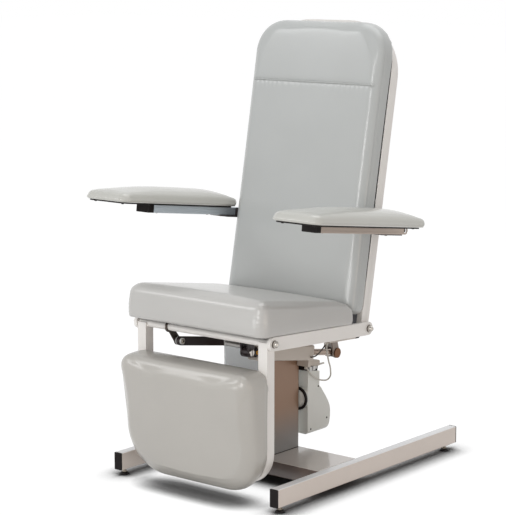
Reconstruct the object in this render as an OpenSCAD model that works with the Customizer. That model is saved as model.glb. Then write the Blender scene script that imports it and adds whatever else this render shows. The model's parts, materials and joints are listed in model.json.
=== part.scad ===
// Powered blood-draw chair: lifting column on an H base, reclining back, linked leg rest
// and two flip-up arms. Millimetres, +Z up, the sitter faces -Y.

/* [Base] */
// Width over both runners
base_w = 660; // [600:5:760]
// Length of a runner tube
runner_len = 945; // [860:5:1040]
// Width of a runner tube
runner_w = 30; // [26:1:40]
// Height of a runner tube
runner_h = 56; // [50:1:64]
// Wall of the runner tubes and the cross member
runner_wall = 2.5; // [2:0.5:4]
// Distance of the runners' middle behind the origin
base_shift = 33; // [0:0.5:40]
// Distance of the column's centre behind the runners' front ends
column_from_front = 327; // [310:1:345]
// Depth of the cross member along the chair
cross_d = 189; // [188:1:220]
// Height of the cross member
cross_h = 47; // [40:1:50]
// Thickness of an end cap's flange
cap_flange = 3; // [2:0.5:5]
// Depth that an end cap's plug reaches into the runner
cap_plug = 16; // [10:1:25]
// Diameter of a levelling foot
foot_d = 30; // [24:1:36]
// Height of a levelling foot's pad
foot_pad_h = 8; // [6:1:10]
// Free height between the floor and a runner
foot_gap = 20; // [18:1:26]
// Diameter of a foot's threaded stem
foot_stem_d = 10; // [8:1:12]
// Distance of a front foot's centre from the runner's front end
foot_inset_front = 27; // [24:1:60]
// Distance of a rear foot's centre from the runner's rear end
foot_inset_rear = 45; // [25:1:80]

/* [Lifting column] */
// Width of the column's outer profile across the chair
column_w = 164; // [150:1:166]
// Depth of the column's outer profile along the chair
column_d = 186; // [170:1:186]
// Height of the column's outer profile
column_h = 337; // [330:1:345]
// Wall of each column profile
column_wall = 4; // [3:0.5:5]
// Running gap between two column profiles
column_gap = 0.9; // [0.6:0.1:3]
// Corner radius of the outer profile
column_r = 12; // [9:1:16]
// Height of the gasket under the column
gasket_h = 2; // [1:0.5:3]
// Travel of the seat
lift_stroke = 250; // [200:10:260]
// Diameter of the lift motor's casing inside the column
lift_motor_d = 90; // [70:1:94]
// Diameter of the push tube inside the column
lift_ram_d = 42; // [34:1:50]

/* [Seat frame] */
// Distance between the front and the rear pivot
pivot_span = 473.8; // [464:0.5:484]
// Slope of the seat rails, front up
seat_tilt = 3.39; // [3:0.1:4]
// Distance of the front pivot ahead of the column's centre
pivot_ahead_len = 275; // [265:1:285]
// Height of the front pivot over the column's top
pivot_rise = 81; // [78:0.5:85]
// Height of a seat rail
rail_h = 42; // [40:1:44]
// Thickness of a seat rail
rail_t = 12; // [10:1:14]
// Gap between a seat rail and the frames that turn inside it
side_gap = 1; // [0.5:0.25:2]
// Diameter of the pivot bolts
pivot_d = 12; // [10:1:14]
// Width of a cross beam along the rails
beam_w = 30; // [26:1:36]
// Thickness of the head plate on the column
head_t = 8; // [6:1:8]

/* [Back] */
// Lean of the back from the upright
recline = 10.7; // [9:0.5:12]
// Half of the width over the back frame and the leg frame
frame_half = 259; // [254:1:264]
// Length of the back frame over its pivot
back_top = 962; // [930:1:990]
// Outer bend radius of the back frame
back_bend = 178; // [150:1:190]
// Width of the back frame's tube, seen from the front
back_tube_w = 20; // [18:1:24]
// Depth of the back frame's tube
back_tube_d = 38; // [34:1:40]
// Distance of the back tube's rear face behind the pivot
back_tube_rear = 13; // [12:1:15]
// Wall of the bent tubes
tube_wall = 2; // [1.5:0.5:3]

/* [Leg rest] */
// Width of the leg frame's square tube
leg_tube = 34; // [30:1:36]
// Height of the leg frame's lowest point over the floor
leg_low = 56; // [50:1:80]
// Outer bend radius of the leg frame
leg_bend = 104; // [80:1:120]
// Diameter of the cross tube on the front pivot
leg_axle_d = 24; // [20:1:26]

/* [Arms] */
// Distance of an arm rail's centre outside the frame's side
arm_out_w = 71.6; // [68:0.2:76]
// Height of the arm's pivot over the rear pivot, along the back
arm_up = 318; // [300:1:340]
// Slope of the arms, front up
arm_tilt = 7.4; // [6:0.2:10]
// Width of an arm rail
arm_rail_w = 54.6; // [50:0.2:58]
// Height of an arm rail
arm_rail_h = 26; // [24:1:28]
// Length of an arm rail from its pivot to its front end
arm_rail_len = 457; // [430:1:480]
// Length of an arm pad
arm_pad_len = 553; // [530:1:570]
// Distance that an arm pad reaches past the rail's front end
arm_pad_ahead = 137.6; // [125:0.2:145]
// Half of an arm pad's width at its underside
arm_pad_half = 91; // [82:1:93]
// Distance of an arm pad's centre outside the rail's centre
arm_pad_out = 43.4; // [42:0.2:48]
// Thickness of the panel under an arm pad
arm_board_t = 4; // [3:0.5:6]

/* [Cushions] */
// Overhang of the seat cushion past the frame's side
seat_lip_w = 21.5; // [18:0.5:24]
// Thickness of the seat cushion at its front
seat_front_t = 111; // [100:1:120]
// Thickness of the seat cushion at its rear
seat_rear_t = 68; // [60:1:72]
// Distance that the seat cushion reaches ahead of the front pivot
seat_ahead = 65; // [58:1:68]
// Distance from the cushion's rear end to the rear pivot
seat_short = 87; // [85:1:94]
// Overhang of the back cushion past the frame's side
back_lip_w = 5; // [2:0.5:6]
// Thickness of the back cushion
back_pad_t = 63; // [58:1:66]
// Height of the back cushion's lower end over the pivot
back_pad_low = 36; // [34:1:44]
// Height of the back cushion's top over the pivot
back_pad_top = 956; // [930:1:958]
// Height of the sewn cross seam over the pivot
back_seam = 751; // [700:1:800]
// Overhang of the leg cushion past the frame's side
leg_lip_w = 10; // [6:0.5:12]
// Height of the leg cushion's lower edge over the floor
leg_pad_low = 31; // [28:1:44]
// Height of the leg cushion's top over the floor
leg_pad_top = 419; // [405:1:421]
// Thickness of the leg cushion at its top
leg_top_t = 105; // [92:1:108]
// Thickness of the leg cushion at its lower edge
leg_low_t = 54; // [46:1:62]
// Thickness of an arm cushion
arm_pad_t = 51; // [46:1:54]

/* [Linkage] */
// Distance of the link's front pin behind the front pivot
link_back = 37; // [35:0.5:39]
// Distance of the link's front pin under the front pivot
link_drop = 50; // [48:0.5:51]
// Distance of the link's rear pin behind the rear pivot
lug_back = 6.2; // [5:0.2:8]
// Distance of the link's rear pin under the rear pivot
lug_drop = 96.8; // [95:0.2:98]
// Depth of the link bar
link_h = 28; // [27:1:30]
// Thickness of the link bar
link_t = 10; // [8:1:12]
// Distance of the link bar's outer face from the middle of the chair
link_x = 135.5; // [134:0.5:140]
// Distance of the actuator's axis from the middle of the chair
act_x = 112; // [111:0.5:114]
// Distance of the actuator's rear pin behind the rear pivot
rod_back = 24; // [22:0.5:25]
// Distance of the actuator's rear pin under the rear pivot
rod_drop = 102; // [101:0.5:103]
// Distance of the actuator's front pin behind the front pivot
act_back = 69; // [66:0.5:72]
// Distance of the actuator's front pin under the front pivot
act_drop = 57; // [55:0.5:58]
// Width of the actuator's square casing
act_w = 46; // [42:1:48]
// Height of the actuator's casing
act_h = 49; // [44:1:50]
// Distance of the casing's rear end behind the front pin
act_len = 291; // [280:1:295]
// Diameter of the piston rod
rod_d = 21; // [18:0.5:24]

/* [Hidden] */

$fn = 64;
// Overrun of every cut past the face that it leaves through
over = 1;
// Half width of a strap where it meets its round eye, as a share of the eye's radius
strap_share = 0.9;
// Gap between a cushion and what carries it
soft_gap = 0.3;
// Radial running clearance of a pin in its bore
run_gap = 0.05;
// Gap between plates that slide past each other
slide_gap = 0.5;

// Places along the chair, worked out from the runners
runner_front = base_shift - runner_len/2;
runner_rear = base_shift + runner_len/2;
runner_top = foot_gap + runner_h;
column_y = runner_front + column_from_front;
column_top = runner_top + gasket_h + column_h;
runner_mid_x = base_w/2 - runner_w/2;
foot_front_y = runner_front + foot_inset_front;
foot_rear_y = runner_rear - foot_inset_rear;
corner_r = 3;
weld_nut_d = 20;
weld_nut_h = 12;
foot_stem_len = 38;
foot_flare_share = 0.72;
cap_plug_gap = 0.2;

// Places of the two main pivots
front_y = column_y - pivot_ahead_len;
front_z = column_top + pivot_rise;
rear_y = front_y + pivot_span*cos(seat_tilt);
rear_z = front_z - pivot_span*sin(seat_tilt);
seat_half = frame_half + seat_lip_w;
back_half = frame_half + back_lip_w;
leg_half = frame_half + leg_lip_w;
arm_x = frame_half + arm_out_w;
rail_in = frame_half + side_gap;
rail_out = rail_in + rail_t;
pivot_bore = pivot_d/2 + run_gap;

// Seat frame: distances of the three cross beams' centres behind the front pivot
beam_front_s = 69;
beam_mid_s = 212;
beam_rear_s = 330;
beam_wall = 2.5;
head_half_w = 78;
head_d = 196;
cheek_t = 6;
cheek_half = 62;
board_t = 12;
board_inset = 16;
board_r = 24;
seat_len = pivot_span + seat_ahead - seat_short;

// Column stages
middle_w = column_w - 2*(column_wall + column_gap);
middle_d = column_d - 2*(column_wall + column_gap);
middle_r = column_r - column_wall - column_gap;
inner_w = middle_w - 2*(column_wall + column_gap);
inner_d = middle_d - 2*(column_wall + column_gap);
inner_r = 3;
stage_lift = 3;
stage_foot = 6;
push_tube_wall = 4;

// Dome nuts, washers and bolts on the rails
washer_d = 24;
washer_t = 2;
nut_d = 21;
nut_t = 6;
dome_r = 9;
bolt_in = 20;

// Back
crossbar_low = 4;
crossbar_h = 58;
crossbar_front = 20;
crossbar_d = 30;
leg_end = 19;
lug_t = 6;
lug_r = 17;
back_inset = 7;
back_board_low = back_pad_low + 22;
back_board_top = back_pad_top - 30;
back_bend_pad = 107;
back_low_r = 26;
back_edge = 22;
back_crown = 4;
back_bulge = 2.5;
back_pull = 2;
back_seam_deep = 7;
back_seam_w = 9;

// Seat cushion: front and rear corner radii, edge rounding, crown, swell and draw of its sides
seat_front_r = 35;
seat_rear_r = 24;
seat_edge = 22;
seat_crown = 7;
seat_bulge = 3;
seat_pull = 2.5;

// Leg rest
leg_rise = 4;
leg_board_low = leg_pad_low + 34;
leg_board_top = leg_pad_top - 26;
leg_board_r = 126;
leg_pad_r = 150;
leg_pad_top_r = 50;
leg_edge = 30;
leg_crown = 6;
leg_bulge = 3;
leg_pull = 2;
leg_lug_r = 13.5;
axle_bore_len = 40;
axle_wall = 2.5;

// Arms
arm_wall = 2.5;
arm_groove = 1;
arm_groove_w = 2.4;
arm_front_cap = 22;
arm_cap_wall_t = 3;
arm_block_front = 33;
arm_stop_clear = 13;
arm_stop_len = 109;
arm_stop_t = 3.5;
arm_hole_d = 16;
arm_board_inset = 11;
arm_pad_front_r = 34;
arm_pad_rear_r = 22;
arm_bolt_gap = 2;
arm_r = 2;
arm_crown = 15;
arm_edge = 14;
arm_bulge = 5;
arm_pull = 1;
arm_stop_share = 0.8;
arm_lean_in = 3;

// Linkage
link_pin_d = 10;
link_nut_t = 5;
// The bar's front hole and the lug's rod hole are wide and off centre, since the linkage is
// driven by plain ratios and its pins wander a few millimetres in them
link_slack = 3.7;
link_slack_y = 1.6;
link_slack_z = -2.2;
link_end_r = link_h/2;
washer_plate_t = 3;
washer_plate_r = 13;
rod_slack = 5.8;
rod_slack_y = -0.2;
rod_slack_z = 2.6;
rod_eye_w = rod_d;
rod_eye_r = 15;
rod_back_len = 50;
pin_head_t = 4;
pin_head_r = 10;
act_wall = 3;
act_front = 34;
act_rear_wall = 16;
act_front_wall = 10;
act_r = 7;
eye_w = 20;
eye_r = 15;
clevis_t = 6;

// Gear case, from the actuator's axis: inner face, drop of its top, front and rear ends
gear_in = 74;
gear_w = 60;
gear_drop = 27;
gear_h = 19;
gear_front = 314;
gear_rear = 392;
gear_r = 7;
flange_in = 28;
flange_t = 14;
block_in = 72;
block_w = 56;
block_front = 317;
block_rear = 386;
block_h = 16;
block_r = 3;

// Motor housing beside and behind the column
motor_in = 74;
motor_w = 60;
motor_gap = 19;
motor_front = column_y + column_d/2 + motor_gap;
motor_len = 119;
motor_drop = 304;
motor_low = column_top - motor_drop;
motor_belly_h = 144;
motor_neck = 61;
motor_r = 16;
motor_side_shares = [[0, 0.05], [0.015, 0.015], [0.05, 0], [0.78, 0], [0.87, 0.03],
    [0.93, 0.09], [0.97, 0.18], [1, 0.3], [1, 0.42], [0.97, 0.54], [0.91, 0.64], [0.83, 0.74],
    [0.68, 0.9], [0.59, 1]];
ring_d = 76;
ring_t = 18;
ring_rise = 120;
ring_lip = 3;
ring_bore_share = 0.7;
boot_len = 55;
boot_d = 14;
boot_tip_d = 6;
boot_tail = 19;
boot_in = 5.5;

// Control box under the right-hand end of the seat frame
box_x = 150;
box_w = 50;
box_front = 102;
box_rear = 53;
box_h = 23;
box_cover = 20;
box_plate_t = 3;
box_r = 7;

// Cable routes from the front pivot, points chosen by hand from the control box downwards. Their
// upper ends follow the rear pivot when the span between the pivots changes
cable_d = 5;
route_span = 473.8;
control_route = [[165, 398, -70.9], [165, 398, -77], [163, 399, -86], [159, 404, -98],
    [154, 413, -112], [148, 425, -128], [142, 438, -146], [137, 452, -165], [131, 463, -183],
    [126, 470, -198], [119, 471, -210], [113, 465, -216], [109, 452, -215], [107, 434, -210],
    [106, 415, -201], [106, 397, -189], [106, 383, -176], [105, 377, -167], [102, 376, -163],
    [96.2, 376, -163]];
sensor_d = 4;
sensor_route = [[170, 381, -69.9], [170, 381, -75], [168, 381, -82], [162, 380, -92],
    [154, 375, -104], [148, 365, -114], [144, 356, -117], [140, 352, -118], [135.2, 352, -118]];

// Helper shapes
module rrect(w, h, r) {
    square([w - 2*r, h], center = true);
    square([w, h - 2*r], center = true);
    for (sx = [-1, 1], sy = [-1, 1])
        translate([sx*(w/2 - r), sy*(h/2 - r)]) circle(r);
}

// A flat shape given as (y, z) points or outlines, t thick from x0 towards +X
module side_plate(x0, t) {
    translate([x0, 0, 0]) rotate([90, 0, 90]) linear_extrude(t) children();
}

// A flat shape given in (x, z), running from y0 to y0 + d
module front_plate(y0, d) {
    translate([0, y0 + d, 0]) rotate([90, 0, 0]) linear_extrude(d) children();
}

module x_cyl(x0, len, r) {
    translate([x0, 0, 0]) rotate([0, 90, 0]) cylinder(h = len, r = r);
}

// An upright arch: half width a, height h over the base line, top corners r
module arch(a, h, r) {
    translate([-a, 0]) square([2*a, h - r]);
    translate([r - a, 0]) square([2*(a - r), h]);
    for (s = [-1, 1]) translate([s*(a - r), h - r]) circle(r, $fn = 128);
}

// A strap from a weld edge, y from a to b at height z, down to a round eye
module strap(a, b, z, eye, r) {
    run = [(a + b)/2, z] - eye;
    side = [run[1], -run[0]]/norm(run)*r*strap_share;
    polygon([[a, z], [b, z], eye + side, eye - side]);
    translate(eye) circle(r);
}

module seat_place() {
    translate([0, front_y, front_z]) rotate([-seat_tilt, 0, 0]) children();
}
module back_place() {
    translate([0, rear_y, rear_z]) rotate([-recline, 0, 0]) children();
}
module leg_place() {
    translate([0, front_y, front_z]) children();
}
arm_lean = back_tube_rear - arm_lean_in;
arm_py = rear_y + arm_lean*cos(recline) + arm_up*sin(recline);
arm_pz = rear_z - arm_lean*sin(recline) + arm_up*cos(recline);
module arm_place(side) {
    translate([side*arm_x, arm_py, arm_pz]) rotate([-arm_tilt, 0, 0]) children();
}
act_y = front_y + act_back;
act_z = front_z - act_drop;
rod_y = rear_y + rod_back;
rod_z = rear_z - rod_drop;
act_tilt = atan2(act_z - rod_z, rod_y - act_y);
act_span = norm([rod_y - act_y, act_z - rod_z]);
module act_place() {
    translate([act_x, act_y, act_z]) rotate([-act_tilt, 0, 0]) children();
}
link_y = rear_y + lug_back;
link_z = rear_z - lug_drop;
link_fy = front_y + link_back;
link_fz = front_z - link_drop;
link_tilt = atan2(link_fz - link_z, link_y - link_fy);
link_len = norm([link_y - link_fy, link_fz - link_z]);
lug_out = link_x + washer_plate_t + slide_gap;

// Turns a step (y, z) in the chair's frame into the reclined back's own frame
function to_back(y, z) = [y*cos(recline) - z*sin(recline), y*sin(recline) + z*cos(recline)];

// A stuffed cushion on a flat underside. Plan: half width w, length len, corner radii r0 at
// its start and r1 at its end. Thickness runs from t0 to t1, edge is the rounding of the top
// edge, crown the rise of its middle, bulge the swell of its walls, pull the draw of its
// sides, and seam_at the place of a sewn cross channel.
function stations(len, r0, r1, n, m) = concat(
    [for (i = [0:n]) r0*(1 - cos(90*i/n))],
    [for (i = [1:m]) r0 + (len - r0 - r1)*i/(m + 1)],
    [for (i = [0:n]) len - r1*(1 - sin(90*i/n))]);
function half_at(s, w, len, r0, r1) =
    s < r0 ? w - r0 + sqrt(max(0, r0*r0 - (r0 - s)*(r0 - s))) :
    s > len - r1 ? w - r1 + sqrt(max(0, r1*r1 - pow(s - len + r1, 2))) : w;
function inside_at(x, s, w, len, r0, r1) =
    s < r0 && x > w - r0 ? r0 - norm([r0 - s, x - w + r0]) :
    s > len - r1 && x > w - r1 ? r1 - norm([s - len + r1, x - w + r1]) :
    min(w - x, s, len - s);
function edge_drop(d, e) = e - sqrt(max(0, e*e - pow(e - min(max(d, 0), e), 2)));
function wall_out(x, s, w, len, r0, r1) =
    s < r0 && abs(x) > w - r0 - over ? [sign(x)*max(0, abs(x) - w + r0), s - r0] :
    s > len - r1 && abs(x) > w - r1 - over ? [sign(x)*max(0, abs(x) - w + r1), s - len + r1] :
    s <= 0 ? [0, -1] : s >= len ? [0, 1] : [sign(x), 0];
function unit(v) = v/max(norm(v), 0.001);

module cushion(w, len, r0, r1, t0, t1, edge, crown, bulge, pull, n, m, cols,
        seam_at = 0, seam_deep = 0, seam_w = over) {
    plain = stations(len, r0, r1, n, m);
    seams = seam_deep > 0 ? [for (k = [-1.6, -0.8, 0, 0.8, 1.6]) seam_at + k*seam_w] : [];
    kept = [for (s = plain) if (seam_deep == 0 || abs(s - seam_at) > 2.4*seam_w) s];
    ss = concat([for (s = kept) if (seam_deep == 0 || s < seam_at) s], seams,
        [for (s = kept) if (seam_deep > 0 && s > seam_at) s]);
    rows = len(ss);
    draw = [for (s = ss) pull*sin(180*s/len)/w];
    thick = function(s) t0 + (t1 - t0)*s/len;
    rise = function(x, s) thick(s) - edge_drop(inside_at(abs(x), s, w, len, r0, r1), edge)
        + crown*(1 - pow(x/w, 2))*(1 - pow(2*s/len - 1, 4))
        - seam_deep*exp(-pow((s - seam_at)/seam_w, 2)*2)
        *min(1, inside_at(abs(x), s, w, len, r0, r1)/edge + 0.35);
    top = [for (i = [0:rows - 1], j = [-cols:cols])
        let(s = ss[i], x = half_at(s, w, len, r0, r1)*sin(90*j/cols))
        [x*(1 - draw[i]), s, rise(x, s)]];
    wide = 2*cols + 1;
    loop = concat([for (j = [0:wide - 1]) [0, j]], [for (i = [1:rows - 1]) [i, wide - 1]],
        [for (j = [wide - 2:-1:0]) [rows - 1, j]], [for (i = [rows - 2:-1:1]) [i, 0]]);
    count = len(loop);
    wall = [for (k = [0, 1/3, 2/3], q = loop)
        let(p = top[q[0]*wide + q[1]], out = unit(wall_out(p[0]/(1 - draw[q[0]]), p[1], w, len, r0, r1)),
            swell = bulge*(k == 0 ? -0.6 : 1))
        [p[0] + out[0]*swell, p[1] + out[1]*swell, p[2]*k]];
    base = rows*wide;
    ring = function(k, q) k == 3 ? loop[q % count][0]*wide + loop[q % count][1]
        : base + k*count + q % count;
    polyhedron(
        points = concat(top, wall, [[0, len/2, 0]]),
        faces = concat(
            [for (i = [0:rows - 2], j = [0:wide - 2]) each
                [[i*wide + j, (i + 1)*wide + j, (i + 1)*wide + j + 1],
                [i*wide + j, (i + 1)*wide + j + 1, i*wide + j + 1]]],
            [for (k = [0:2], q = [0:count - 1]) each
                [[ring(k, q), ring(k + 1, q), ring(k + 1, q + 1)],
                [ring(k, q), ring(k + 1, q + 1), ring(k, q + 1)]]],
            [for (q = [0:count - 1]) [base + 3*count, ring(0, q), ring(0, q + 1)]]),
        convexity = 6);
}

// A round cable swept along the points of its route
module cable(route, d, sides = 8) {
    last = len(route) - 1;
    dirs = [for (i = [0:last]) unit(route[min(i + 1, last)] - route[max(i - 1, 0)])];
    // A reference that no stretch of the route is parallel to
    side = unit([1, 0.35, 0.2]);
    ringp = [for (i = [0:last])
        let(a = unit(cross(dirs[i], side)), b = cross(dirs[i], a))
        for (k = [0:sides - 1]) route[i] + d/2*(cos(360*k/sides)*a + sin(360*k/sides)*b)];
    polyhedron(
        points = concat(ringp, [route[0], route[last]]),
        faces = concat(
            [for (i = [0:last - 1], k = [0:sides - 1])
                let(n = (k + 1) % sides) each
                [[i*sides + k, (i + 1)*sides + n, (i + 1)*sides + k],
                [i*sides + k, i*sides + n, (i + 1)*sides + n]]],
            [for (k = [0:sides - 1]) [len(ringp), (k + 1) % sides, k]],
            [for (k = [0:sides - 1]) [len(ringp) + 1, last*sides + k, last*sides + (k + 1) % sides]]),
        convexity = 8);
}

// Base
module runner(side) {
    color("#C0B6AE") translate([side*runner_mid_x, 0, foot_gap]) {
        difference() {
            translate([0, runner_rear, runner_h/2]) rotate([90, 0, 0])
                linear_extrude(runner_len) difference() {
                    rrect(runner_w, runner_h, corner_r);
                    rrect(runner_w - 2*runner_wall, runner_h - 2*runner_wall, corner_r/2);
                }
            for (y = [foot_front_y, foot_rear_y]) translate([0, y, -over])
                cylinder(h = runner_wall + 2*over, d = foot_stem_d + 2*run_gap);
        }
        for (y = [foot_front_y, foot_rear_y]) translate([0, y, runner_wall]) difference() {
            cylinder(h = weld_nut_h, d = weld_nut_d, $fn = 6);
            translate([0, 0, -over]) cylinder(h = weld_nut_h + 2*over, d = foot_stem_d + 2*run_gap);
        }
    }
}
module runner_left() { runner(1); }
module runner_right() { runner(-1); }

module cross_member() {
    len = base_w - 2*runner_w;
    color("#A8A9A5") difference() {
        translate([-len/2, column_y, runner_top - cross_h/2]) rotate([90, 0, 90])
            linear_extrude(len) difference() {
                rrect(cross_d, cross_h, corner_r);
                rrect(cross_d - 2*runner_wall, cross_h - 2*runner_wall, corner_r/2);
            }
    }
}

module runner_end_caps() {
    plug_w = runner_w - 2*runner_wall - 2*cap_plug_gap;
    plug_h = runner_h - 2*runner_wall - 2*cap_plug_gap;
    color("#2B201F") for (side = [-1, 1]) for (rear = [false, true])
        translate([side*runner_mid_x, rear ? runner_rear : runner_front, foot_gap + runner_h/2])
            rotate([rear ? -90 : 90, 0, 0]) {
                linear_extrude(cap_flange) rrect(runner_w, runner_h, corner_r);
                translate([0, 0, -cap_plug]) linear_extrude(cap_plug) difference() {
                    rrect(plug_w, plug_h, corner_r/2);
                    rrect(plug_w - 2*cap_flange, plug_h - 2*cap_flange, corner_r/3);
                }
            }
}

module column_gasket() {
    color("#2A2A2A") translate([0, column_y, runner_top]) linear_extrude(gasket_h) difference() {
        rrect(column_w, column_d, column_r);
        rrect(column_w - 2*column_wall, column_d - 2*column_wall, column_r - column_wall);
    }
}

module column_tube(w, d, r, wall, z0, z1) {
    translate([0, column_y, z0]) linear_extrude(z1 - z0) difference() {
        rrect(w, d, r);
        rrect(w - 2*wall, d - 2*wall, max(r - wall, wall/4));
    }
}
module column_outer() {
    color("#8E7464") column_tube(column_w, column_d, column_r, column_wall, runner_top + gasket_h,
        column_top);
}
module column_middle() {
    color("#9A9C9C") column_tube(middle_w, middle_d, middle_r, column_wall,
        runner_top + gasket_h + stage_foot, column_top + stage_lift/2);
}
module column_inner() {
    color("#A8AAAA") column_tube(inner_w, inner_d, inner_r, column_wall,
        runner_top + gasket_h + 2*stage_foot, column_top + stage_lift);
}
module lift_motor() {
    tube_h = column_h/2;
    color("#5A5C60") translate([0, column_y, runner_top]) difference() {
        union() {
            cylinder(h = tube_h/3, d = lift_motor_d);
            cylinder(h = column_h - push_tube_wall*4, d = lift_ram_d - 2*push_tube_wall - 2*slide_gap);
        }
        translate([0, 0, column_h - tube_h/4]) cylinder(h = tube_h, d = lift_ram_d/3);
    }
}
module lift_push_tube() {
    z0 = runner_top + column_h/5;
    color("#C9CBCD") translate([0, column_y, z0]) difference() {
        cylinder(h = column_top + stage_lift - z0, d = lift_ram_d);
        translate([0, 0, -over]) cylinder(h = column_top + stage_lift - z0 - push_tube_wall + over,
            d = lift_ram_d - 2*push_tube_wall);
    }
}

module foot(side, y) {
    stem_r = foot_stem_d/2;
    color("#2B201F") translate([side*runner_mid_x, y, 0]) rotate_extrude()
        polygon([[0, 0], [foot_d/2, 0], [foot_d/2, foot_pad_h/2], [foot_d/2*foot_flare_share, foot_pad_h],
            [stem_r, foot_pad_h], [stem_r, foot_stem_len], [0, foot_stem_len]]);
}
module foot_front_left() { foot(1, foot_front_y); }
module foot_front_right() { foot(-1, foot_front_y); }
module foot_rear_left() { foot(1, foot_rear_y); }
module foot_rear_right() { foot(-1, foot_rear_y); }

// Seat frame on the column
head_low = column_top + stage_lift;
head_top = head_low + head_t;
module column_head() {
    // The cheeks' sloped tops meet the undersides of the middle and rear beams
    rail_under = function(y) front_z - (y - front_y)*tan(seat_tilt) - rail_h/2/cos(seat_tilt);
    y0 = column_y - cheek_half;
    y1 = column_y + cheek_half;
    color("#B5AFA8") {
        translate([0, column_y, head_low]) linear_extrude(head_t) rrect(2*head_half_w, head_d, column_r);
        for (s = [-1, 1]) side_plate(s*head_half_w - (s + 1)/2*cheek_t, cheek_t)
            polygon([[y0 - beam_w, head_top], [y1 + beam_w, head_top],
                [y1 + beam_w, rail_under(y1 + beam_w)], [y0 - beam_w, rail_under(y0 - beam_w)]]);
    }
}

module seat_cross_beams() {
    color("#C6C1BC") seat_place() {
        for (s = [beam_front_s, beam_mid_s, beam_rear_s]) translate([-rail_in, s, 0])
            rotate([90, 0, 90]) linear_extrude(2*rail_in) difference() {
                rrect(beam_w, rail_h, corner_r);
                rrect(beam_w - 2*beam_wall, rail_h - 2*beam_wall, corner_r/2);
            }
        // Ear that carries the control box, from the rear beam rearwards
        translate([box_x, beam_rear_s + beam_w/2, -rail_h/2]) {
            cube([rail_in - box_x, box_plate_t, rail_h/2]);
            translate([0, 0, -box_plate_t])
                cube([box_w, pivot_span + box_rear - box_cover - beam_rear_s - beam_w/2, box_plate_t]);
            cube([box_w, box_plate_t, box_plate_t]);
        }
    }
}

module seat_rail(side) {
    color("#C6C1BC") seat_place() side_plate(side > 0 ? rail_in : -rail_out, rail_t) difference() {
        union() {
            translate([0, -rail_h/2]) square([pivot_span, rail_h]);
            circle(rail_h/2);
            translate([pivot_span, 0]) circle(rail_h/2);
        }
        circle(pivot_bore);
        translate([pivot_span, 0]) circle(pivot_bore);
    }
}
module seat_rail_left() { seat_rail(1); }
module seat_rail_right() { seat_rail(-1); }

module seat_board_shape(grow, t) {
    half = rail_out - board_inset;
    translate([0, seat_len/2 - seat_ahead, rail_h/2]) linear_extrude(t)
        rrect(2*(half + grow), seat_len - 2*board_inset + 2*grow, board_r + grow);
}
module seat_board() {
    color("#B08D5F") seat_place() seat_board_shape(0, board_t);
}
module seat_cushion() {
    color("#BCBFBC") seat_place() difference() {
        translate([0, -seat_ahead, rail_h/2 + soft_gap])
            cushion(seat_half, seat_len, seat_front_r, seat_rear_r, seat_front_t, seat_rear_t, seat_edge,
                seat_crown, seat_bulge, seat_pull, 5, 11, 8);
        translate([0, 0, -over]) seat_board_shape(soft_gap, board_t + over + soft_gap);
    }
}

// Bolts at both pivots: shank through the rail, head outside under the washer
module pivot_bolts() {
    color("#B9BBBD") seat_place() for (y = [0, pivot_span]) translate([0, y, 0]) for (s = [-1, 1])
        x_cyl(s > 0 ? rail_in - bolt_in : -rail_out, rail_t + bolt_in, pivot_d/2);
}
module pivot_dome_nuts() {
    color("#D8D9DA") seat_place() for (y = [0, pivot_span]) for (s = [-1, 1])
        translate([s*rail_out, y, 0]) rotate([0, s*90, 0]) {
            cylinder(h = washer_t, d = washer_d);
            translate([0, 0, washer_t]) cylinder(h = nut_t, d = nut_d, $fn = 6);
            translate([0, 0, washer_t + nut_t]) rotate_extrude() intersection() {
                circle(dome_r);
                square(dome_r);
            }
        }
}

// Recline actuator under the seat
module actuator_bracket() {
    // Two plates welded under the front beam, with a bore for the front pin
    eye = [act_back, -act_drop]*[[cos(seat_tilt), sin(seat_tilt)], [-sin(seat_tilt), cos(seat_tilt)]];
    top = [beam_front_s - beam_w/2, beam_front_s + beam_w/2];
    color("#C6C1BC") seat_place() for (x = [act_x - eye_w/2 - slide_gap - clevis_t,
            act_x + eye_w/2 + slide_gap])
        side_plate(x, clevis_t) difference() {
            strap(top[0], top[1], -rail_h/2, eye, eye_r);
            translate(eye) circle(link_pin_d/2 + run_gap);
        }
}
pin_half = eye_w/2 + slide_gap + clevis_t;
module actuator_front_pin() {
    color("#D8D9DA") act_place() {
        x_cyl(-pin_half - pin_head_t, 2*pin_half + 2*pin_head_t, link_pin_d/2);
        for (s = [-1, 1]) x_cyl(s > 0 ? pin_half : -pin_half - pin_head_t, pin_head_t, pin_head_r);
    }
}
module actuator_front_eye() {
    color("#25262A") act_place() side_plate(-eye_w/2, eye_w) difference() {
        union() {
            circle(eye_r);
            translate([0, -eye_r]) square([act_front, 2*eye_r]);
        }
        circle(link_pin_d/2 + run_gap);
    }
}
rod_bore = rod_d/2 + slide_gap;
module actuator_casing() {
    hollow = act_len - act_front - act_front_wall - act_rear_wall;
    color("#B7AEA4") act_place() difference() {
        translate([0, act_len, 0]) rotate([90, 0, 0]) linear_extrude(act_len - act_front)
            rrect(act_w, act_h, act_r);
        translate([0, act_len - act_rear_wall, 0]) rotate([90, 0, 0]) linear_extrude(hollow)
            rrect(act_w - 2*act_wall, act_h - 2*act_wall, act_r - act_wall);
        translate([0, act_len + over, 0]) rotate([90, 0, 0])
            cylinder(h = act_rear_wall + 2*over, r = rod_bore);
    }
}
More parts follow.
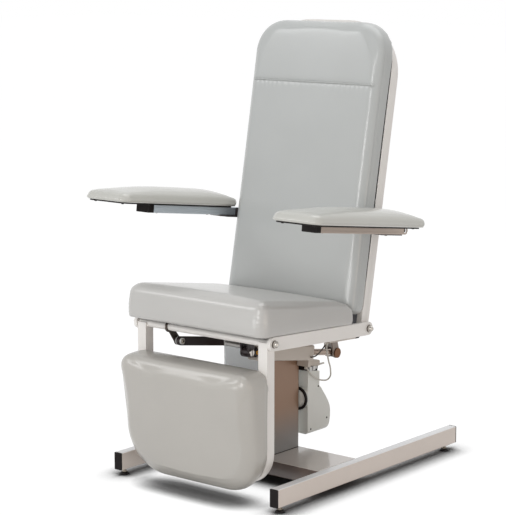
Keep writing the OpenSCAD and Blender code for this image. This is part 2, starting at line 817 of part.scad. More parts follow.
module actuator_gearbox() {
    // Flange on the casing's rear end, and the gear case under and beside the rod
    gear_low = gear_drop + gear_h;
    color("#BEB5A8") act_place() difference() {
        union() {
            side_plate(-gear_in, gear_w) translate([(gear_front + gear_rear)/2, -gear_drop - gear_h/2])
                rrect(gear_rear - gear_front, gear_h, gear_r);
            side_plate(-flange_in, flange_in - gear_in + gear_w) translate([act_len, -gear_low])
                square([gear_front + gear_r - act_len, gear_h]);
            translate([0, act_len + flange_t, 0]) rotate([90, 0, 0]) linear_extrude(flange_t) {
                rrect(act_w, act_h, act_r);
                translate([-flange_in, -gear_low]) square([flange_in + act_w/2 - act_r, gear_low - act_r]);
            }
        }
        translate([0, act_len - over, 0]) rotate([-90, 0, 0])
            cylinder(h = flange_t + 2*over, r = rod_bore);
    }
}
module connector_shape(grow) {
    act_place() side_plate(-block_in - grow, block_w + 2*grow)
        translate([(block_front + block_rear)/2, -gear_drop - gear_h - block_h/2])
            rrect(block_rear - block_front + 2*grow, block_h, block_r);
}
module connector_block() {
    color("#1F2123") connector_shape(0);
}
motor_x = act_x - motor_in;
// Height of the connector block's underside over a place y along the chair
function block_under(y) = act_z - (y - act_y)*tan(act_tilt) - (gear_drop + gear_h + block_h)/cos(act_tilt);
module motor_housing() {
    belly_top = motor_low + motor_belly_h;
    top = block_under(motor_front);
    color("#B7BAB6") intersection() {
        side_plate(motor_x, motor_w) polygon(concat(
            [for (q = motor_side_shares) [motor_front + q[0]*motor_len, motor_low + q[1]*motor_belly_h]],
            [[motor_front + motor_neck, belly_top + motor_r/2],
            [motor_front + motor_neck, block_under(motor_front + motor_neck)], [motor_front, top]]));
        translate([motor_x + motor_w/2, motor_front + motor_len + over, (top + motor_low + motor_r)/2])
            rotate([90, 0, 0]) linear_extrude(motor_len + 2*over)
                rrect(motor_w, top - motor_low + motor_r, motor_r);
    }
}
module motor_end_ring() {
    color("#1F2123") translate([motor_x + motor_w/2, motor_front, motor_low + ring_rise])
        rotate([90, 0, 0]) difference() {
            cylinder(h = ring_t, d = ring_d);
            translate([0, 0, ring_t - ring_lip]) cylinder(h = ring_lip + over, d = ring_d*ring_bore_share);
        }
}
module cable_boot() {
    color("#D6CFC2") difference() {
        act_place() translate([motor_w/2 - motor_in, block_rear - boot_in, -gear_drop - gear_h - block_h/2])
            rotate([act_tilt - 90, 0, 0]) {
                cylinder(h = boot_len, d1 = boot_d, d2 = boot_tip_d);
                cylinder(h = boot_len + boot_tail, d = boot_tip_d);
            }
        connector_shape(0);
    }
}

// Control box behind the rear beam
module control_box_shape(y0, y1) {
    translate([box_x + box_w/2, y1, -rail_h/2 - box_plate_t - box_h/2]) rotate([90, 0, 0])
        linear_extrude(y1 - y0) rrect(box_w, box_h, box_r);
}
module control_box() {
    color("#C3BBB0") seat_place() control_box_shape(pivot_span - box_front, pivot_span + box_rear - box_cover);
}
module control_box_cover() {
    color("#17181A") seat_place() control_box_shape(pivot_span + box_rear - box_cover, pivot_span + box_rear);
}
module routed(route, d) {
    last = len(route) - 1;
    translate([0, front_y, front_z]) cable([for (i = [0:last])
        route[i] + [0, (pivot_span - route_span)*(last - i)/last, 0]], d);
}
module control_cable() { color("#CFC9C0") routed(control_route, cable_d); }
module sensor_cable() { color("#4A403A") routed(sensor_route, sensor_d); }

module piston_rod() {
    color("#C9CBCD") act_place() translate([0, act_len - rod_back_len, 0]) rotate([-90, 0, 0])
        cylinder(h = act_span - rod_eye_r - act_len + rod_back_len, d = rod_d);
}
module rod_eye() {
    color("#A7A9AB") act_place() side_plate(-rod_eye_w/2, rod_eye_w) translate([act_span, 0])
        difference() {
            union() {
                circle(rod_eye_r);
                translate([-rod_eye_r, -rod_d/2]) square([rod_eye_r, rod_d]);
            }
            circle(pivot_d/2 + run_gap);
        }
}
lug_clear = 1;
module rod_pin() {
    half = rod_eye_w/2 + lug_clear + lug_t + slide_gap;
    color("#B9BBBD") act_place() translate([0, act_span, 0]) {
        x_cyl(-half - pin_head_t, 2*half + 2*pin_head_t, pivot_d/2);
        for (s = [-1, 1]) x_cyl(s > 0 ? half : -half - pin_head_t, pin_head_t, lug_r - lug_clear);
    }
}

// Back
module back_band(cut) {
    // cut shrinks the tube's section on every side, for the hollow inside it
    translate([0, 0, -leg_end + cut]) front_plate(back_tube_rear - back_tube_d + cut, back_tube_d - 2*cut)
        difference() {
            arch(frame_half - cut, back_top + leg_end - 2*cut, back_bend - cut);
            translate([0, -over]) arch(frame_half - back_tube_w + cut,
                back_top + leg_end - back_tube_w + over, back_bend - back_tube_w + cut);
        }
}
module back_frame() {
    color("#C6C1BC") back_place() difference() {
        back_band(0);
        back_band(tube_wall);
        x_cyl(-frame_half - over, 2*frame_half + 2*over, pivot_bore);
    }
}
module back_crossbar() {
    half = frame_half - back_tube_w;
    color("#9FA0A6") back_place() translate([-half, 0, crossbar_low + crossbar_h/2])
        rotate([90, 0, 90]) linear_extrude(2*half) translate([crossbar_d/2 - crossbar_front, 0])
            difference() {
                rrect(crossbar_d, crossbar_h, corner_r);
                rrect(crossbar_d - 2*beam_wall, crossbar_h - 2*beam_wall, corner_r/2);
            }
}
module back_lug(x, eye, hole, shift) {
    difference() {
        union() {
            side_plate(x, lug_t) strap(corner_r - crossbar_front, crossbar_d - crossbar_front - corner_r,
                crossbar_low, eye, lug_r);
        }
        translate([0, eye[0] + shift[0], eye[1] + shift[1]]) x_cyl(x - over, lug_t + 2*over, hole);
    }
}
module back_lugs() {
    rod_eye_at = to_back(rod_back, -rod_drop);
    link_at = to_back(lug_back, -lug_drop);
    half = rod_eye_w/2 + lug_clear;
    color("#B5AFA8") back_place() {
        for (x = [act_x - half - lug_t, act_x + half])
            back_lug(x, rod_eye_at, pivot_d/2 + rod_slack, to_back(rod_slack_y, rod_slack_z));
        back_lug(-lug_out - lug_t, link_at, link_pin_d/2 + run_gap, [0, 0]);
    }
}
// Pin from the lug plate through the washer and the link, with a collar on its inner end
module link_pin() {
    len = lug_t + washer_plate_t + link_t + 2*slide_gap + link_nut_t;
    x0 = -lug_out - lug_t;
    x_cyl(x0, len, link_pin_d/2);
    x_cyl(x0 + len - link_nut_t, link_nut_t, pin_head_r);
    x_cyl(-lug_out, washer_plate_t, washer_plate_r);
}
module back_link_pin() {
    color("#C9CBCD") translate([0, link_y, link_z]) link_pin();
}
module back_board_shape(grow, t) {
    h = back_board_top - back_board_low;
    translate([0, back_tube_rear - back_tube_d, (back_board_top + back_board_low)/2])
        rotate([90, 0, 0]) linear_extrude(t)
            rrect(2*(back_half - back_inset + grow), h + 2*grow, back_bend_pad - back_inset + grow);
}
module back_board() {
    color("#B08D5F") back_place() back_board_shape(0, board_t);
}
module back_cushion() {
    len = back_pad_top - back_pad_low;
    color("#BCBFBC") back_place() difference() {
        translate([0, back_tube_rear - back_tube_d - soft_gap, back_pad_low]) rotate([90, 0, 0])
            cushion(back_half, len, back_low_r, back_bend_pad, back_pad_t, back_pad_t, back_edge,
                back_crown, back_bulge, back_pull, 6, 9, 8, seam_at = back_seam - back_pad_low,
                seam_deep = back_seam_deep, seam_w = back_seam_w);
        translate([0, over, 0]) back_board_shape(soft_gap, board_t + over + soft_gap);
    }
}

// Arms: brackets and bolts ride with the back
module arm_bracket(side) {
    // Block out to the rail, and a stop plate that the rail rests on
    gap = slide_gap;
    inner = frame_half - arm_x;
    block = arm_x - arm_rail_w/2 - gap - frame_half;
    low = -arm_rail_h/2 - gap;
    color("#34302F") arm_place(side) mirror([side > 0 ? 0 : 1, 0, 0]) difference() {
        union() {
            side_plate(inner, block) {
                translate([-arm_block_front, -arm_rail_h/2])
                    square([arm_block_front, arm_rail_h]);
                circle(arm_rail_h/2);
                translate([-arm_block_front, low - arm_stop_t]) square([arm_block_front, arm_rail_h/2]);
            }
            translate([inner + arm_stop_clear, -arm_stop_len, low - arm_stop_t])
                cube([block + gap + arm_rail_w*arm_stop_share - arm_stop_clear, arm_stop_len, arm_stop_t]);
        }
        x_cyl(inner - over, block + 2*over, pivot_d/2 + run_gap);
    }
}
module arm_bracket_left() { arm_bracket(1); }
module arm_bracket_right() { arm_bracket(-1); }
module arm_pivot_bolts() {
    inner = frame_half - arm_x + arm_bolt_gap;
    color("#8A8C8E") for (side = [-1, 1]) arm_place(side) mirror([side > 0 ? 0 : 1, 0, 0])
        x_cyl(inner, -inner + arm_rail_w/2 - arm_wall - over, pivot_d/2);
}

module link_bar() {
    color("#2A1F1D") translate([-link_x, link_fy, link_fz]) rotate([-link_tilt, 0, 0])
        side_plate(0, link_t) difference() {
            union() {
                circle(link_end_r);
                translate([0, -link_h/2]) square([link_len, link_h]);
                translate([link_len, 0]) circle(link_end_r);
            }
            translate([link_slack_y, link_slack_z]) circle(link_pin_d/2 + link_slack);
            translate([link_len, 0]) circle(link_pin_d/2 + run_gap);
        }
}

// Leg rest
module leg_axle_tube() {
    color("#C6C1BC") leg_place() difference() {
        x_cyl(-frame_half, 2*frame_half, leg_axle_d/2);
        x_cyl(-frame_half - over, 2*frame_half + 2*over, pivot_bore);
        x_cyl(axle_bore_len - frame_half, 2*(frame_half - axle_bore_len), leg_axle_d/2 - axle_wall);
    }
}
module leg_band(cut) {
    top = front_z + leg_rise;
    translate([0, front_y - leg_tube/2 + cut, top - cut]) rotate([-90, 0, 0])
        linear_extrude(leg_tube - 2*cut) difference() {
            arch(frame_half - cut, top - leg_low - 2*cut, leg_bend - cut);
            translate([0, -over]) arch(frame_half - leg_tube + cut, top - leg_low - leg_tube + over,
                leg_bend - leg_tube + cut);
        }
}
module leg_frame() {
    color("#CFCBC6") difference() {
        leg_band(0);
        leg_band(tube_wall);
        translate([0, front_y, front_z]) x_cyl(-frame_half - over, 2*frame_half + 2*over,
            leg_axle_d/2 + run_gap);
    }
}
module leg_lug() {
    eye = [link_back, -link_drop];
    color("#C6C1BC") leg_place() difference() {
        union() {
            side_plate(-lug_out - lug_t, lug_t) strap(-leg_axle_d/2, leg_axle_d/2, 0, eye, leg_lug_r);
            x_cyl(-lug_out - lug_t, lug_t, leg_axle_d/2 + lug_t);
        }
        x_cyl(-lug_out - lug_t - over, lug_t + 2*over, leg_axle_d/2 + run_gap);
        translate([0, eye[0], eye[1]])
            x_cyl(-lug_out - lug_t - over, lug_t + 2*over, link_pin_d/2 + run_gap);
    }
}
module leg_link_pin() {
    color("#E4E4E2") translate([0, link_fy, link_fz]) link_pin();
}
module leg_board_shape(grow, t) {
    h = leg_board_top - leg_board_low;
    translate([0, front_y - leg_tube/2, (leg_board_top + leg_board_low)/2]) rotate([90, 0, 0])
        linear_extrude(t) rrect(2*(leg_half - 2*board_inset + grow), h + 2*grow, leg_board_r + grow);
}
module leg_board() {
    color("#B08D5F") leg_board_shape(0, board_t);
}
module leg_cushion() {
    color("#B0ADA7") difference() {
        translate([0, front_y - leg_tube/2 - soft_gap, leg_pad_low]) rotate([90, 0, 0])
            cushion(leg_half, leg_pad_top - leg_pad_low, leg_pad_r, leg_pad_top_r, leg_low_t, leg_top_t,
                leg_edge, leg_crown, leg_bulge, leg_pull, 7, 6, 8);
        translate([0, over, 0]) leg_board_shape(soft_gap, board_t + over + soft_gap);
    }
}

// Flip-up arms
module arm_rail(side) {
    color("#B8BEC2") arm_place(side) difference() {
        intersection() {
            translate([0, arm_rail_h/2, 0]) rotate([90, 0, 0])
                linear_extrude(arm_rail_len - arm_front_cap + arm_rail_h/2) difference() {
                    rrect(arm_rail_w, arm_rail_h, arm_r);
                    rrect(arm_rail_w - 2*arm_wall, arm_rail_h - 2*arm_wall, arm_r/2);
                    for (s = [-1, 1], z = [-arm_rail_h/5, arm_rail_h/5])
                        translate([s*arm_rail_w/2, z]) square([2*arm_groove, arm_groove_w], center = true);
                }
            side_plate(-arm_rail_w/2, arm_rail_w) {
                circle(arm_rail_h/2);
                translate([-arm_rail_len, -arm_rail_h/2]) square([arm_rail_len, arm_rail_h]);
            }
        }
        x_cyl(-arm_rail_w/2 - over, arm_rail_w + 2*over, pivot_d/2 + run_gap);
        x_cyl(side > 0 ? arm_rail_w/2 - arm_wall - over : -arm_rail_w/2 - over, arm_wall + 2*over,
            arm_hole_d/2);
    }
}
module arm_rail_left() { arm_rail(1); }
module arm_rail_right() { arm_rail(-1); }

module arm_board(side) {
    // Panel under the cushion, and the rail's moulded front cap that hooks up to it
    plug_w = arm_rail_w - 2*arm_wall - 2*cap_plug_gap;
    plug_h = arm_rail_h - 2*arm_wall - 2*cap_plug_gap;
    len = arm_pad_len - 2*arm_board_inset;
    front = -arm_rail_len - arm_pad_ahead + arm_board_inset;
    color("#1C1A1C") arm_place(side) {
        translate([side*arm_pad_out, front + len/2, arm_rail_h/2]) linear_extrude(arm_board_t)
            rrect(2*(arm_pad_half - arm_board_inset), len, arm_pad_front_r - arm_board_inset);
        translate([0, arm_front_cap - arm_rail_len, 0]) rotate([90, 0, 0]) {
            linear_extrude(arm_front_cap) rrect(arm_rail_w, arm_rail_h, arm_r);
            translate([0, 0, -cap_plug]) linear_extrude(cap_plug) difference() {
                rrect(plug_w, plug_h, arm_r/2);
                rrect(plug_w - 2*arm_cap_wall_t, plug_h - 2*arm_cap_wall_t, arm_r/2);
            }
        }
    }
}
module arm_board_left() { arm_board(1); }
module arm_board_right() { arm_board(-1); }

module arm_cushion(side) {
    color("#C4C5BF") arm_place(side)
        translate([side*arm_pad_out, -arm_rail_len - arm_pad_ahead, arm_rail_h/2 + arm_board_t + soft_gap])
            cushion(arm_pad_half, arm_pad_len, arm_pad_front_r, arm_pad_rear_r, arm_pad_t - arm_crown,
                arm_pad_t - arm_crown, arm_edge, arm_crown, arm_bulge, arm_pull, 5, 7, 5);
}
module arm_cushion_left() { arm_cushion(1); }
module arm_cushion_right() { arm_cushion(-1); }

runner_left();
runner_right();
cross_member();
runner_end_caps();
column_gasket();
column_outer();
lift_motor();
foot_front_left();
foot_front_right();
foot_rear_left();
foot_rear_right();
column_middle();
column_inner();
lift_push_tube();
column_head();
seat_cross_beams();
seat_rail_left();
seat_rail_right();
seat_board();
seat_cushion();
pivot_bolts();
pivot_dome_nuts();
actuator_bracket();
actuator_front_pin();
actuator_front_eye();
actuator_casing();
actuator_gearbox();
motor_housing();
motor_end_ring();
connector_block();
cable_boot();
control_box();
control_box_cover();
control_cable();
sensor_cable();
piston_rod();
rod_eye();
rod_pin();
back_frame();
back_crossbar();
back_lugs();
back_link_pin();
back_board();
back_cushion();
arm_bracket_left();
arm_bracket_right();
arm_pivot_bolts();
link_bar();
leg_axle_tube();
leg_frame();
leg_lug();
leg_link_pin();
leg_board();
leg_cushion();
arm_rail_left();
arm_rail_right();
arm_board_left();
arm_board_right();
arm_cushion_left();
arm_cushion_right();
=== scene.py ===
# %% [markdown]
# # A powered blood-draw chair
# The steel frame, the lifting column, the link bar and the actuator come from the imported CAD
# model as a fixed frame. This script dresses that frame: it makes the upholstery, the small
# hardware and the materials, and lights them as in a plain product photograph.
# Every length here is in metres, with +Z up and the sitter facing -Y.

# %% Load the CAD frame
import bpy
import json
import math
import numpy as np
from mathutils import Matrix, Vector


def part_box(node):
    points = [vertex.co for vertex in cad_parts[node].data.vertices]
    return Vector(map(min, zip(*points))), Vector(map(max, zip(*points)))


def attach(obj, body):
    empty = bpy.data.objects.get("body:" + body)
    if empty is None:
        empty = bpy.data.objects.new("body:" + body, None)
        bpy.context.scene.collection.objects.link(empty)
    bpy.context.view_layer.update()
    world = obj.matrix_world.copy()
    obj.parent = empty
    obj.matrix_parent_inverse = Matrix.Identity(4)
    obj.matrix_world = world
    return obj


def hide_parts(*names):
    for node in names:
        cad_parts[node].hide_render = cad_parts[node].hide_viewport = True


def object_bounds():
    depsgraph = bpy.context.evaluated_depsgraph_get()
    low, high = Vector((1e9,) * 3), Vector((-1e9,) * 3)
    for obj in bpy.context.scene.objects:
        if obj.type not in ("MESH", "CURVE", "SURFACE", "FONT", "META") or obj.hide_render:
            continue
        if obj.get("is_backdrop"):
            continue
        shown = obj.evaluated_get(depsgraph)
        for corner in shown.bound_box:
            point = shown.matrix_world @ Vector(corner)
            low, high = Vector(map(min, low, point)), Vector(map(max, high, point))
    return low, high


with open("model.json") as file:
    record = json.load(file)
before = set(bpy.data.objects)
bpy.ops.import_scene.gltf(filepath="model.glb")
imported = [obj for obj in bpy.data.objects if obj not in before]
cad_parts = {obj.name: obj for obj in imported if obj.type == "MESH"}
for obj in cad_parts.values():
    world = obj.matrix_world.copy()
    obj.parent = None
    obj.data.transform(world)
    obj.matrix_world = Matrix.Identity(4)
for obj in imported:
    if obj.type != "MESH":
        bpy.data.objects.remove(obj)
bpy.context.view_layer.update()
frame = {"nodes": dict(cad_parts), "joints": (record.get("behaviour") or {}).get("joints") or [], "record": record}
nodes = frame["nodes"]
scene = bpy.context.scene

# %% [markdown]
# The cushions and the small parts are placed in the same tilted frames as the steel that
# carries them. The pivots are read from the joints, so nothing can drift from the CAD; only
# the slopes of the seat, the back and the arms at rest are written here.

# %% Tilted frames of the seat, back, leg rest and arms
pivot = {j["name"]: Vector(j["pos_m"]) for j in frame["joints"] if "pos_m" in j}
SEAT_SLOPE, BACK_LEAN, ARM_SLOPE = (math.radians(a) for a in (3.39, 10.7, 7.4))


def tilted(point, angle):
    """Frame at a point, turned by -angle about X, so that its Y runs back and down."""
    return np.array(Matrix.Translation(point) @ Matrix.Rotation(-angle, 4, "X"))


front = Vector((0, pivot["leg_raise"].y, pivot["leg_raise"].z))
rear = Vector((0, pivot["back_recline"].y, pivot["back_recline"].z))
SEAT, BACK, LEG = tilted(front, SEAT_SLOPE), tilted(rear, BACK_LEAN), tilted(front, 0)
ARM = {side: tilted(pivot[f"arm_{side}_lift"], ARM_SLOPE) for side in ("left", "right")}
print("front pivot", front, "rear pivot", rear)

# %% [markdown]
# The camera is the one that took the product picture: a long lens, far off, a little above
# the seat. It was found by fitting the chair's straight edges, so the render can be laid
# over the picture.

# %% Camera
AZIMUTH, ELEVATION = math.radians(39.43), math.radians(9.527)
CAMERA_AT, FAR = (3.54695, -4.46873, 1.63299), 60
# the sensor in mm, the focal length and the picture's height in pixels
SENSOR, FOCAL_PX, TALL_PX = 36, 1823.02, 515
away = Vector((math.sin(AZIMUTH)*math.cos(ELEVATION), -math.cos(AZIMUTH)*math.cos(ELEVATION),
               math.sin(ELEVATION)))
lens = bpy.data.cameras.new("camera")
lens.lens, lens.sensor_width, lens.clip_end = FOCAL_PX*SENSOR/TALL_PX, SENSOR, FAR
camera = bpy.data.objects.new("camera", lens)
scene.collection.objects.link(camera)
camera.location = CAMERA_AT
camera.rotation_euler = away.to_track_quat("Z", "Y").to_euler()
scene.camera = camera
print("lens", round(lens.lens, 1), "mm")

# %% [markdown]
# Every shader below is built with one call, which adds a node and fills its inputs.

# %% Shader node helper
def fill_inputs(tree, node, values):
    """Sets the node's inputs, given by name or number. A socket is linked, and so is the first
    output of a node."""
    for key, value in values.items():
        if isinstance(value, bpy.types.Node):
            value = value.outputs[0]
        if isinstance(value, bpy.types.NodeSocket):
            tree.links.new(value, node.inputs[key])
        else:
            node.inputs[key].default_value = value


def add_node(tree, kind, *inputs, **settings):
    """Adds a shader node. Plain arguments fill its inputs in order; a named one fills the input
    of that name or, in small letters, sets the node's own field."""
    made = tree.nodes.new("ShaderNode" + kind)
    values = dict(enumerate(inputs))
    for key, value in settings.items():
        if key.islower():
            setattr(made, key, value)
        else:
            values[key.replace("_", " ")] = value
    fill_inputs(tree, made, values)
    return made


def seen_directly(tree):
    """1 where a camera, mirror or glass ray looks at it, 0 for the light that it gives."""
    path = add_node(tree, "LightPath")
    total = path.outputs["Is Camera Ray"]
    for name in ("Is Glossy Ray", "Is Transmission Ray"):
        total = add_node(tree, "Math", total, path.outputs[name], operation="ADD",
                         use_clamp=True)
    return total


# %% [markdown]
# Light and floor are those of a catalogue picture: a wide soft light overhead, a smaller one at
# the front left, an upright box in front that draws the bright lines along the cushions'
# edges, a low one for the leg rest, and a weak warm one at the right.

# %% World and lamps
scene.view_settings.view_transform = "Standard"
AMBIENT = 0.46
world = bpy.data.worlds.new("studio")
scene.world = world
world.use_nodes = True
tree = world.node_tree
tree.nodes.clear()
ambient = add_node(tree, "Background", Color=(0.97, 0.98, 1.0, 1), Strength=AMBIENT)
white = add_node(tree, "Background", Color=(1, 1, 1, 1), Strength=1.0)
mix = add_node(tree, "MixShader", seen_directly(tree), ambient, white)
add_node(tree, "OutputWorld", Surface=mix)


def area_light(name, at, look, width, height, power, color):
    """Rectangular lamp at a point, facing another; sizes in metres, power in watts."""
    data = bpy.data.lights.new(name, "AREA")
    data.shape, data.size, data.size_y = "RECTANGLE", width, height
    data.energy, data.color = power, color
    lamp = bpy.data.objects.new(name, data)
    scene.collection.objects.link(lamp)
    lamp.location = at
    lamp.rotation_euler = (Vector(at) - Vector(look)).to_track_quat("Z", "Y").to_euler()


area_light("key", (-3.4, -3.8, 3.6), (0, 0, 0.7), 1.4, 1.4, 32, (0.985, 0.99, 1.0))
area_light("overhead", (0.2, 0.6, 4.3), (0, -0.1, 0.5), 3.2, 3.2, 58, (0.98, 0.99, 1.0))
area_light("front box", (1.0, -4.2, 1.8), (0, 0, 0.8), 1.1, 2.0, 46, (1.0, 1.0, 1.0))
area_light("low front", (-1.5, -4.6, 0.55), (0, 0, 0.45), 1.6, 0.7, 18, (0.98, 0.99, 1.0))
area_light("warm fill", (3.5, -1.0, 0.6), (0, -0.1, 0.35), 2.0, 1.2, 10, (1.0, 0.78, 0.6))
print("lamps", len(bpy.data.lights))

# %% [markdown]
# The floor is so pale that only the contact shadows show. It glows only to rays from the
# camera, a mirror or glass, which lifts it to white and throws no light on the chair, and the
# glow fades where something stands close above it: that fade is a painted contact shadow, laid
# over the lamps' real but faint shadow in the floor's dim diffuse part.

# %% Floor
# half the floor's width, and how far up something casts the painted contact shadow
FLOOR_HALF, NEAR = 30, 0.085
floor_mesh = bpy.data.meshes.new("floor")
floor_mesh.from_pydata([(-FLOOR_HALF, -FLOOR_HALF, 0), (FLOOR_HALF, -FLOOR_HALF, 0),
                        (FLOOR_HALF, FLOOR_HALF, 0), (-FLOOR_HALF, FLOOR_HALF, 0)], [],
                       [(0, 1, 2, 3)])
floor = bpy.data.objects.new("floor", floor_mesh)
scene.collection.objects.link(floor)
floor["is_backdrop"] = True
paper = bpy.data.materials.new("studio floor")
paper.use_nodes = True
tree = paper.node_tree
tree.nodes.clear()
matte = add_node(tree, "BsdfDiffuse", Color=(0.86, 0.86, 0.86, 1))
shown = add_node(tree, "BsdfDiffuse", Color=(0.14, 0.14, 0.14, 1))
near = add_node(tree, "AmbientOcclusion", samples=8, Distance=NEAR)
painted_contact_shadow = add_node(tree, "MapRange", near.outputs["AO"], From_Min=0.6, From_Max=0.95, To_Max=0.94)
glow = add_node(tree, "Emission", Strength=painted_contact_shadow)
both = add_node(tree, "AddShader", shown, glow)
mix = add_node(tree, "MixShader", seen_directly(tree), matte, both)
add_node(tree, "OutputMaterial", Surface=mix)
floor.data.materials.append(paper)
print("floor", 2*FLOOR_HALF, "m wide")

# %% [markdown]
# Shader effects that several materials share are node groups. Each has named inputs, so a
# material sets only its own values. The first one is the skin of coated fabric: pebbled
# grain for the bump, and a slow drift of tone and gloss.

# %% Node group helpers
def colour(code):
    """Linear colour of a #RRGGBB code: (c/12.92) below 0.04045, else ((c+0.055)/1.055)^2.4."""
    c = np.array([int(code[i:i + 2], 16) for i in (1, 3, 5)])/255
    c = np.where(c < 0.04045, c/12.92, ((c + 0.055)/1.055)**2.4)
    return (*map(float, c), 1.0)


GREY = (0.5, 0.5, 0.5, 1)
FINISH_OUT = {"Color": "Color", "Roughness": "Float", "Normal": "Vector"}


class Group:
    """A shader node group with named sockets. An input's kind follows from its value: a number,
    a vector of three or a colour of four."""

    def __init__(self, name, outputs, **inputs):
        self.tree = bpy.data.node_groups.new(name, "ShaderNodeTree")
        for label, value in inputs.items():
            kind = "Float" if isinstance(value, float) else ("Vector", "Color")[len(value) - 3]
            s = self.tree.interface.new_socket(label, in_out="INPUT",
                                               socket_type="NodeSocket" + kind)
            s.default_value = value
        for label, kind in outputs.items():
            self.tree.interface.new_socket(label, in_out="OUTPUT",
                                           socket_type="NodeSocket" + kind)
        self.source = self.tree.nodes.new("NodeGroupInput")
        self.sink = self.tree.nodes.new("NodeGroupOutput")

    def given(self, label):
        """The group's own input of this name, as a socket."""
        return self.source.outputs[label]

    def add(self, kind, *inputs, **settings):
        """A node in the group, made as by add_node."""
        return add_node(self.tree, kind, *inputs, **settings)

    def give(self, **sockets):
        """Links these sockets to the group's outputs."""
        fill_inputs(self.tree, self.sink, sockets)

    def mixed(self, factor, a, b):
        """Colour a (1 - factor) + b factor."""
        mix = self.add("Mix", factor, data_type="RGBA")
        fill_inputs(self.tree, mix, {6: a, 7: b})
        return mix.outputs[2]

    def drifting(self, wave):
        """The wave centred, c = 2 wave - 1, and Color with its value times 1 + Drift c."""
        centred = self.add("MapRange", wave, To_Min=-1.0)
        tone = self.add("Math", centred, self.given("Drift"), 1.0, operation="MULTIPLY_ADD")
        shade = self.add("HueSaturation", Color=self.given("Color"), Value=tone)
        return centred, shade.outputs["Color"]

    def bumped(self, height, distance):
        """Normal of a bump of this height, as strong as Depth."""
        return self.add("Bump", Strength=self.given("Depth"), Distance=distance,
                        Height=height).outputs["Normal"]


# %% Coated fabric grain
vinyl_grain = g = Group("vinyl grain", FINISH_OUT, Grain=900.0, Depth=0.35, Drift=0.05,
                        Color=GREY, Gloss=0.4)
place = g.add("TexCoord").outputs["Object"]
pebble = g.add("TexVoronoi", Vector=place, Scale=g.given("Grain"), feature="SMOOTH_F1")
crease = g.add("TexNoise", Vector=place, Scale=140.0, Detail=4.0)
height = g.add("Math", crease.outputs["Fac"], 0.5, pebble.outputs["Distance"],
               operation="MULTIPLY_ADD")
slow = g.add("TexNoise", Vector=place, Scale=5.0, Detail=3.0)
centred, shade = g.drifting(slow.outputs["Fac"])
rough = g.add("Math", centred, 0.05, g.given("Gloss"), operation="MULTIPLY_ADD")
g.give(Color=shade, Roughness=rough, Normal=g.bumped(height, 0.0003))
print("vinyl grain", len(g.tree.nodes), "nodes")

# %% [markdown]
# Powder coat and moulded plastic share one group: a fine orange peel, a slight change of
# tone and a little settled dust on faces that look up.

# %% Coat and plastic group
skin_group = g = Group("coat skin", FINISH_OUT, Peel=500.0, Depth=0.2, Drift=0.04, Dust=0.1,
                       Color=GREY, Gloss=0.4)
place = g.add("TexCoord").outputs["Object"]
peel = g.add("TexNoise", Vector=place, Scale=g.given("Peel"), Detail=2.0)
slow = g.add("TexNoise", Vector=place, Scale=9.0, Detail=5.0)
shade = g.drifting(slow.outputs["Fac"])[1]
up = g.add("SeparateXYZ", g.add("NewGeometry").outputs["Normal"])
lie = g.add("MapRange", up.outputs["Z"], From_Min=0.55)
film = g.add("Math", lie, g.given("Dust"), operation="MULTIPLY")
rough = g.add("Math", g.given("Gloss"), film, operation="ADD")
g.give(Color=g.mixed(film, shade, colour("#BDB8AE")), Roughness=rough,
       Normal=g.bumped(peel.outputs["Fac"], 0.0002))
print("coat skin", len(g.tree.nodes), "nodes")

# %% [markdown]
# Extruded aluminium and turned steel carry fine lines along or round the part. The same
# noise, squeezed along one axis, gives both: the material says which way it is stretched.

# %% Drawn and brushed metal group
drawn_group = g = Group("drawn metal", FINISH_OUT, Stretch=(900.0, 6.0, 900.0), Depth=0.12,
                        Drift=0.08, Color=GREY, Gloss=0.3)
place = g.add("TexCoord").outputs["Object"]
pull = g.add("VectorMath", place, g.given("Stretch"), operation="MULTIPLY")
lines = g.add("TexNoise", Vector=pull, Scale=1.0, Detail=3.0).outputs["Fac"]
centred, shade = g.drifting(lines)
rough = g.add("Math", centred, 0.06, g.given("Gloss"), operation="MULTIPLY_ADD")
g.give(Color=shade, Roughness=rough, Normal=g.bumped(lines, 0.0001))
print("drawn metal", len(g.tree.nodes), "nodes")

# %% [markdown]
# The column is a plain anodised tube. The brown on its sides and the pale tone on its front
# and back are painted reflections, and the sides' painted brown turns grey near the foot. A
# small group sorts the faces by the way that they look and mixes four tones, for front, side,
# foot of the side, and top. The base's paint uses it too, for a painted lighter top, and so
# does the cross member's, for a painted shaded front.

# %% Painted light by face
# heights between which the sides' painted brown reflection turns grey
FOOT_LOW, FOOT_TOP = 0.085, 0.235
TURN = {"From_Min": 0.3, "From_Max": 0.8}
painted_light_by_face = g = Group("painted light by face", {"Color": "Color"}, Front=GREY, Side=GREY, Foot=GREY,
                       Top=GREY)
looks = g.add("SeparateXYZ", g.add("NewGeometry").outputs["Normal"])
sideways = g.add("Math", looks.outputs["X"], operation="ABSOLUTE")
side = g.add("MapRange", sideways, **TURN)
above = g.add("MapRange", looks.outputs["Z"], **TURN)
at = g.add("SeparateXYZ", g.add("TexCoord").outputs["Object"])
low = g.add("MapRange", at.outputs["Z"], interpolation_type="SMOOTHSTEP", From_Min=FOOT_TOP,
            From_Max=FOOT_LOW)
standing = g.mixed(low, g.given("Side"), g.given("Foot"))
tone = g.mixed(side, g.given("Front"), standing)
g.give(Color=g.mixed(above, tone, g.given("Top")))
print("painted light by face", len(g.tree.nodes), "nodes")

# %% [markdown]
# A finish is a Principled shader fed by one of these groups. What is the same all over a
# surface, such as the coat or the sheen, is set on the shader itself.

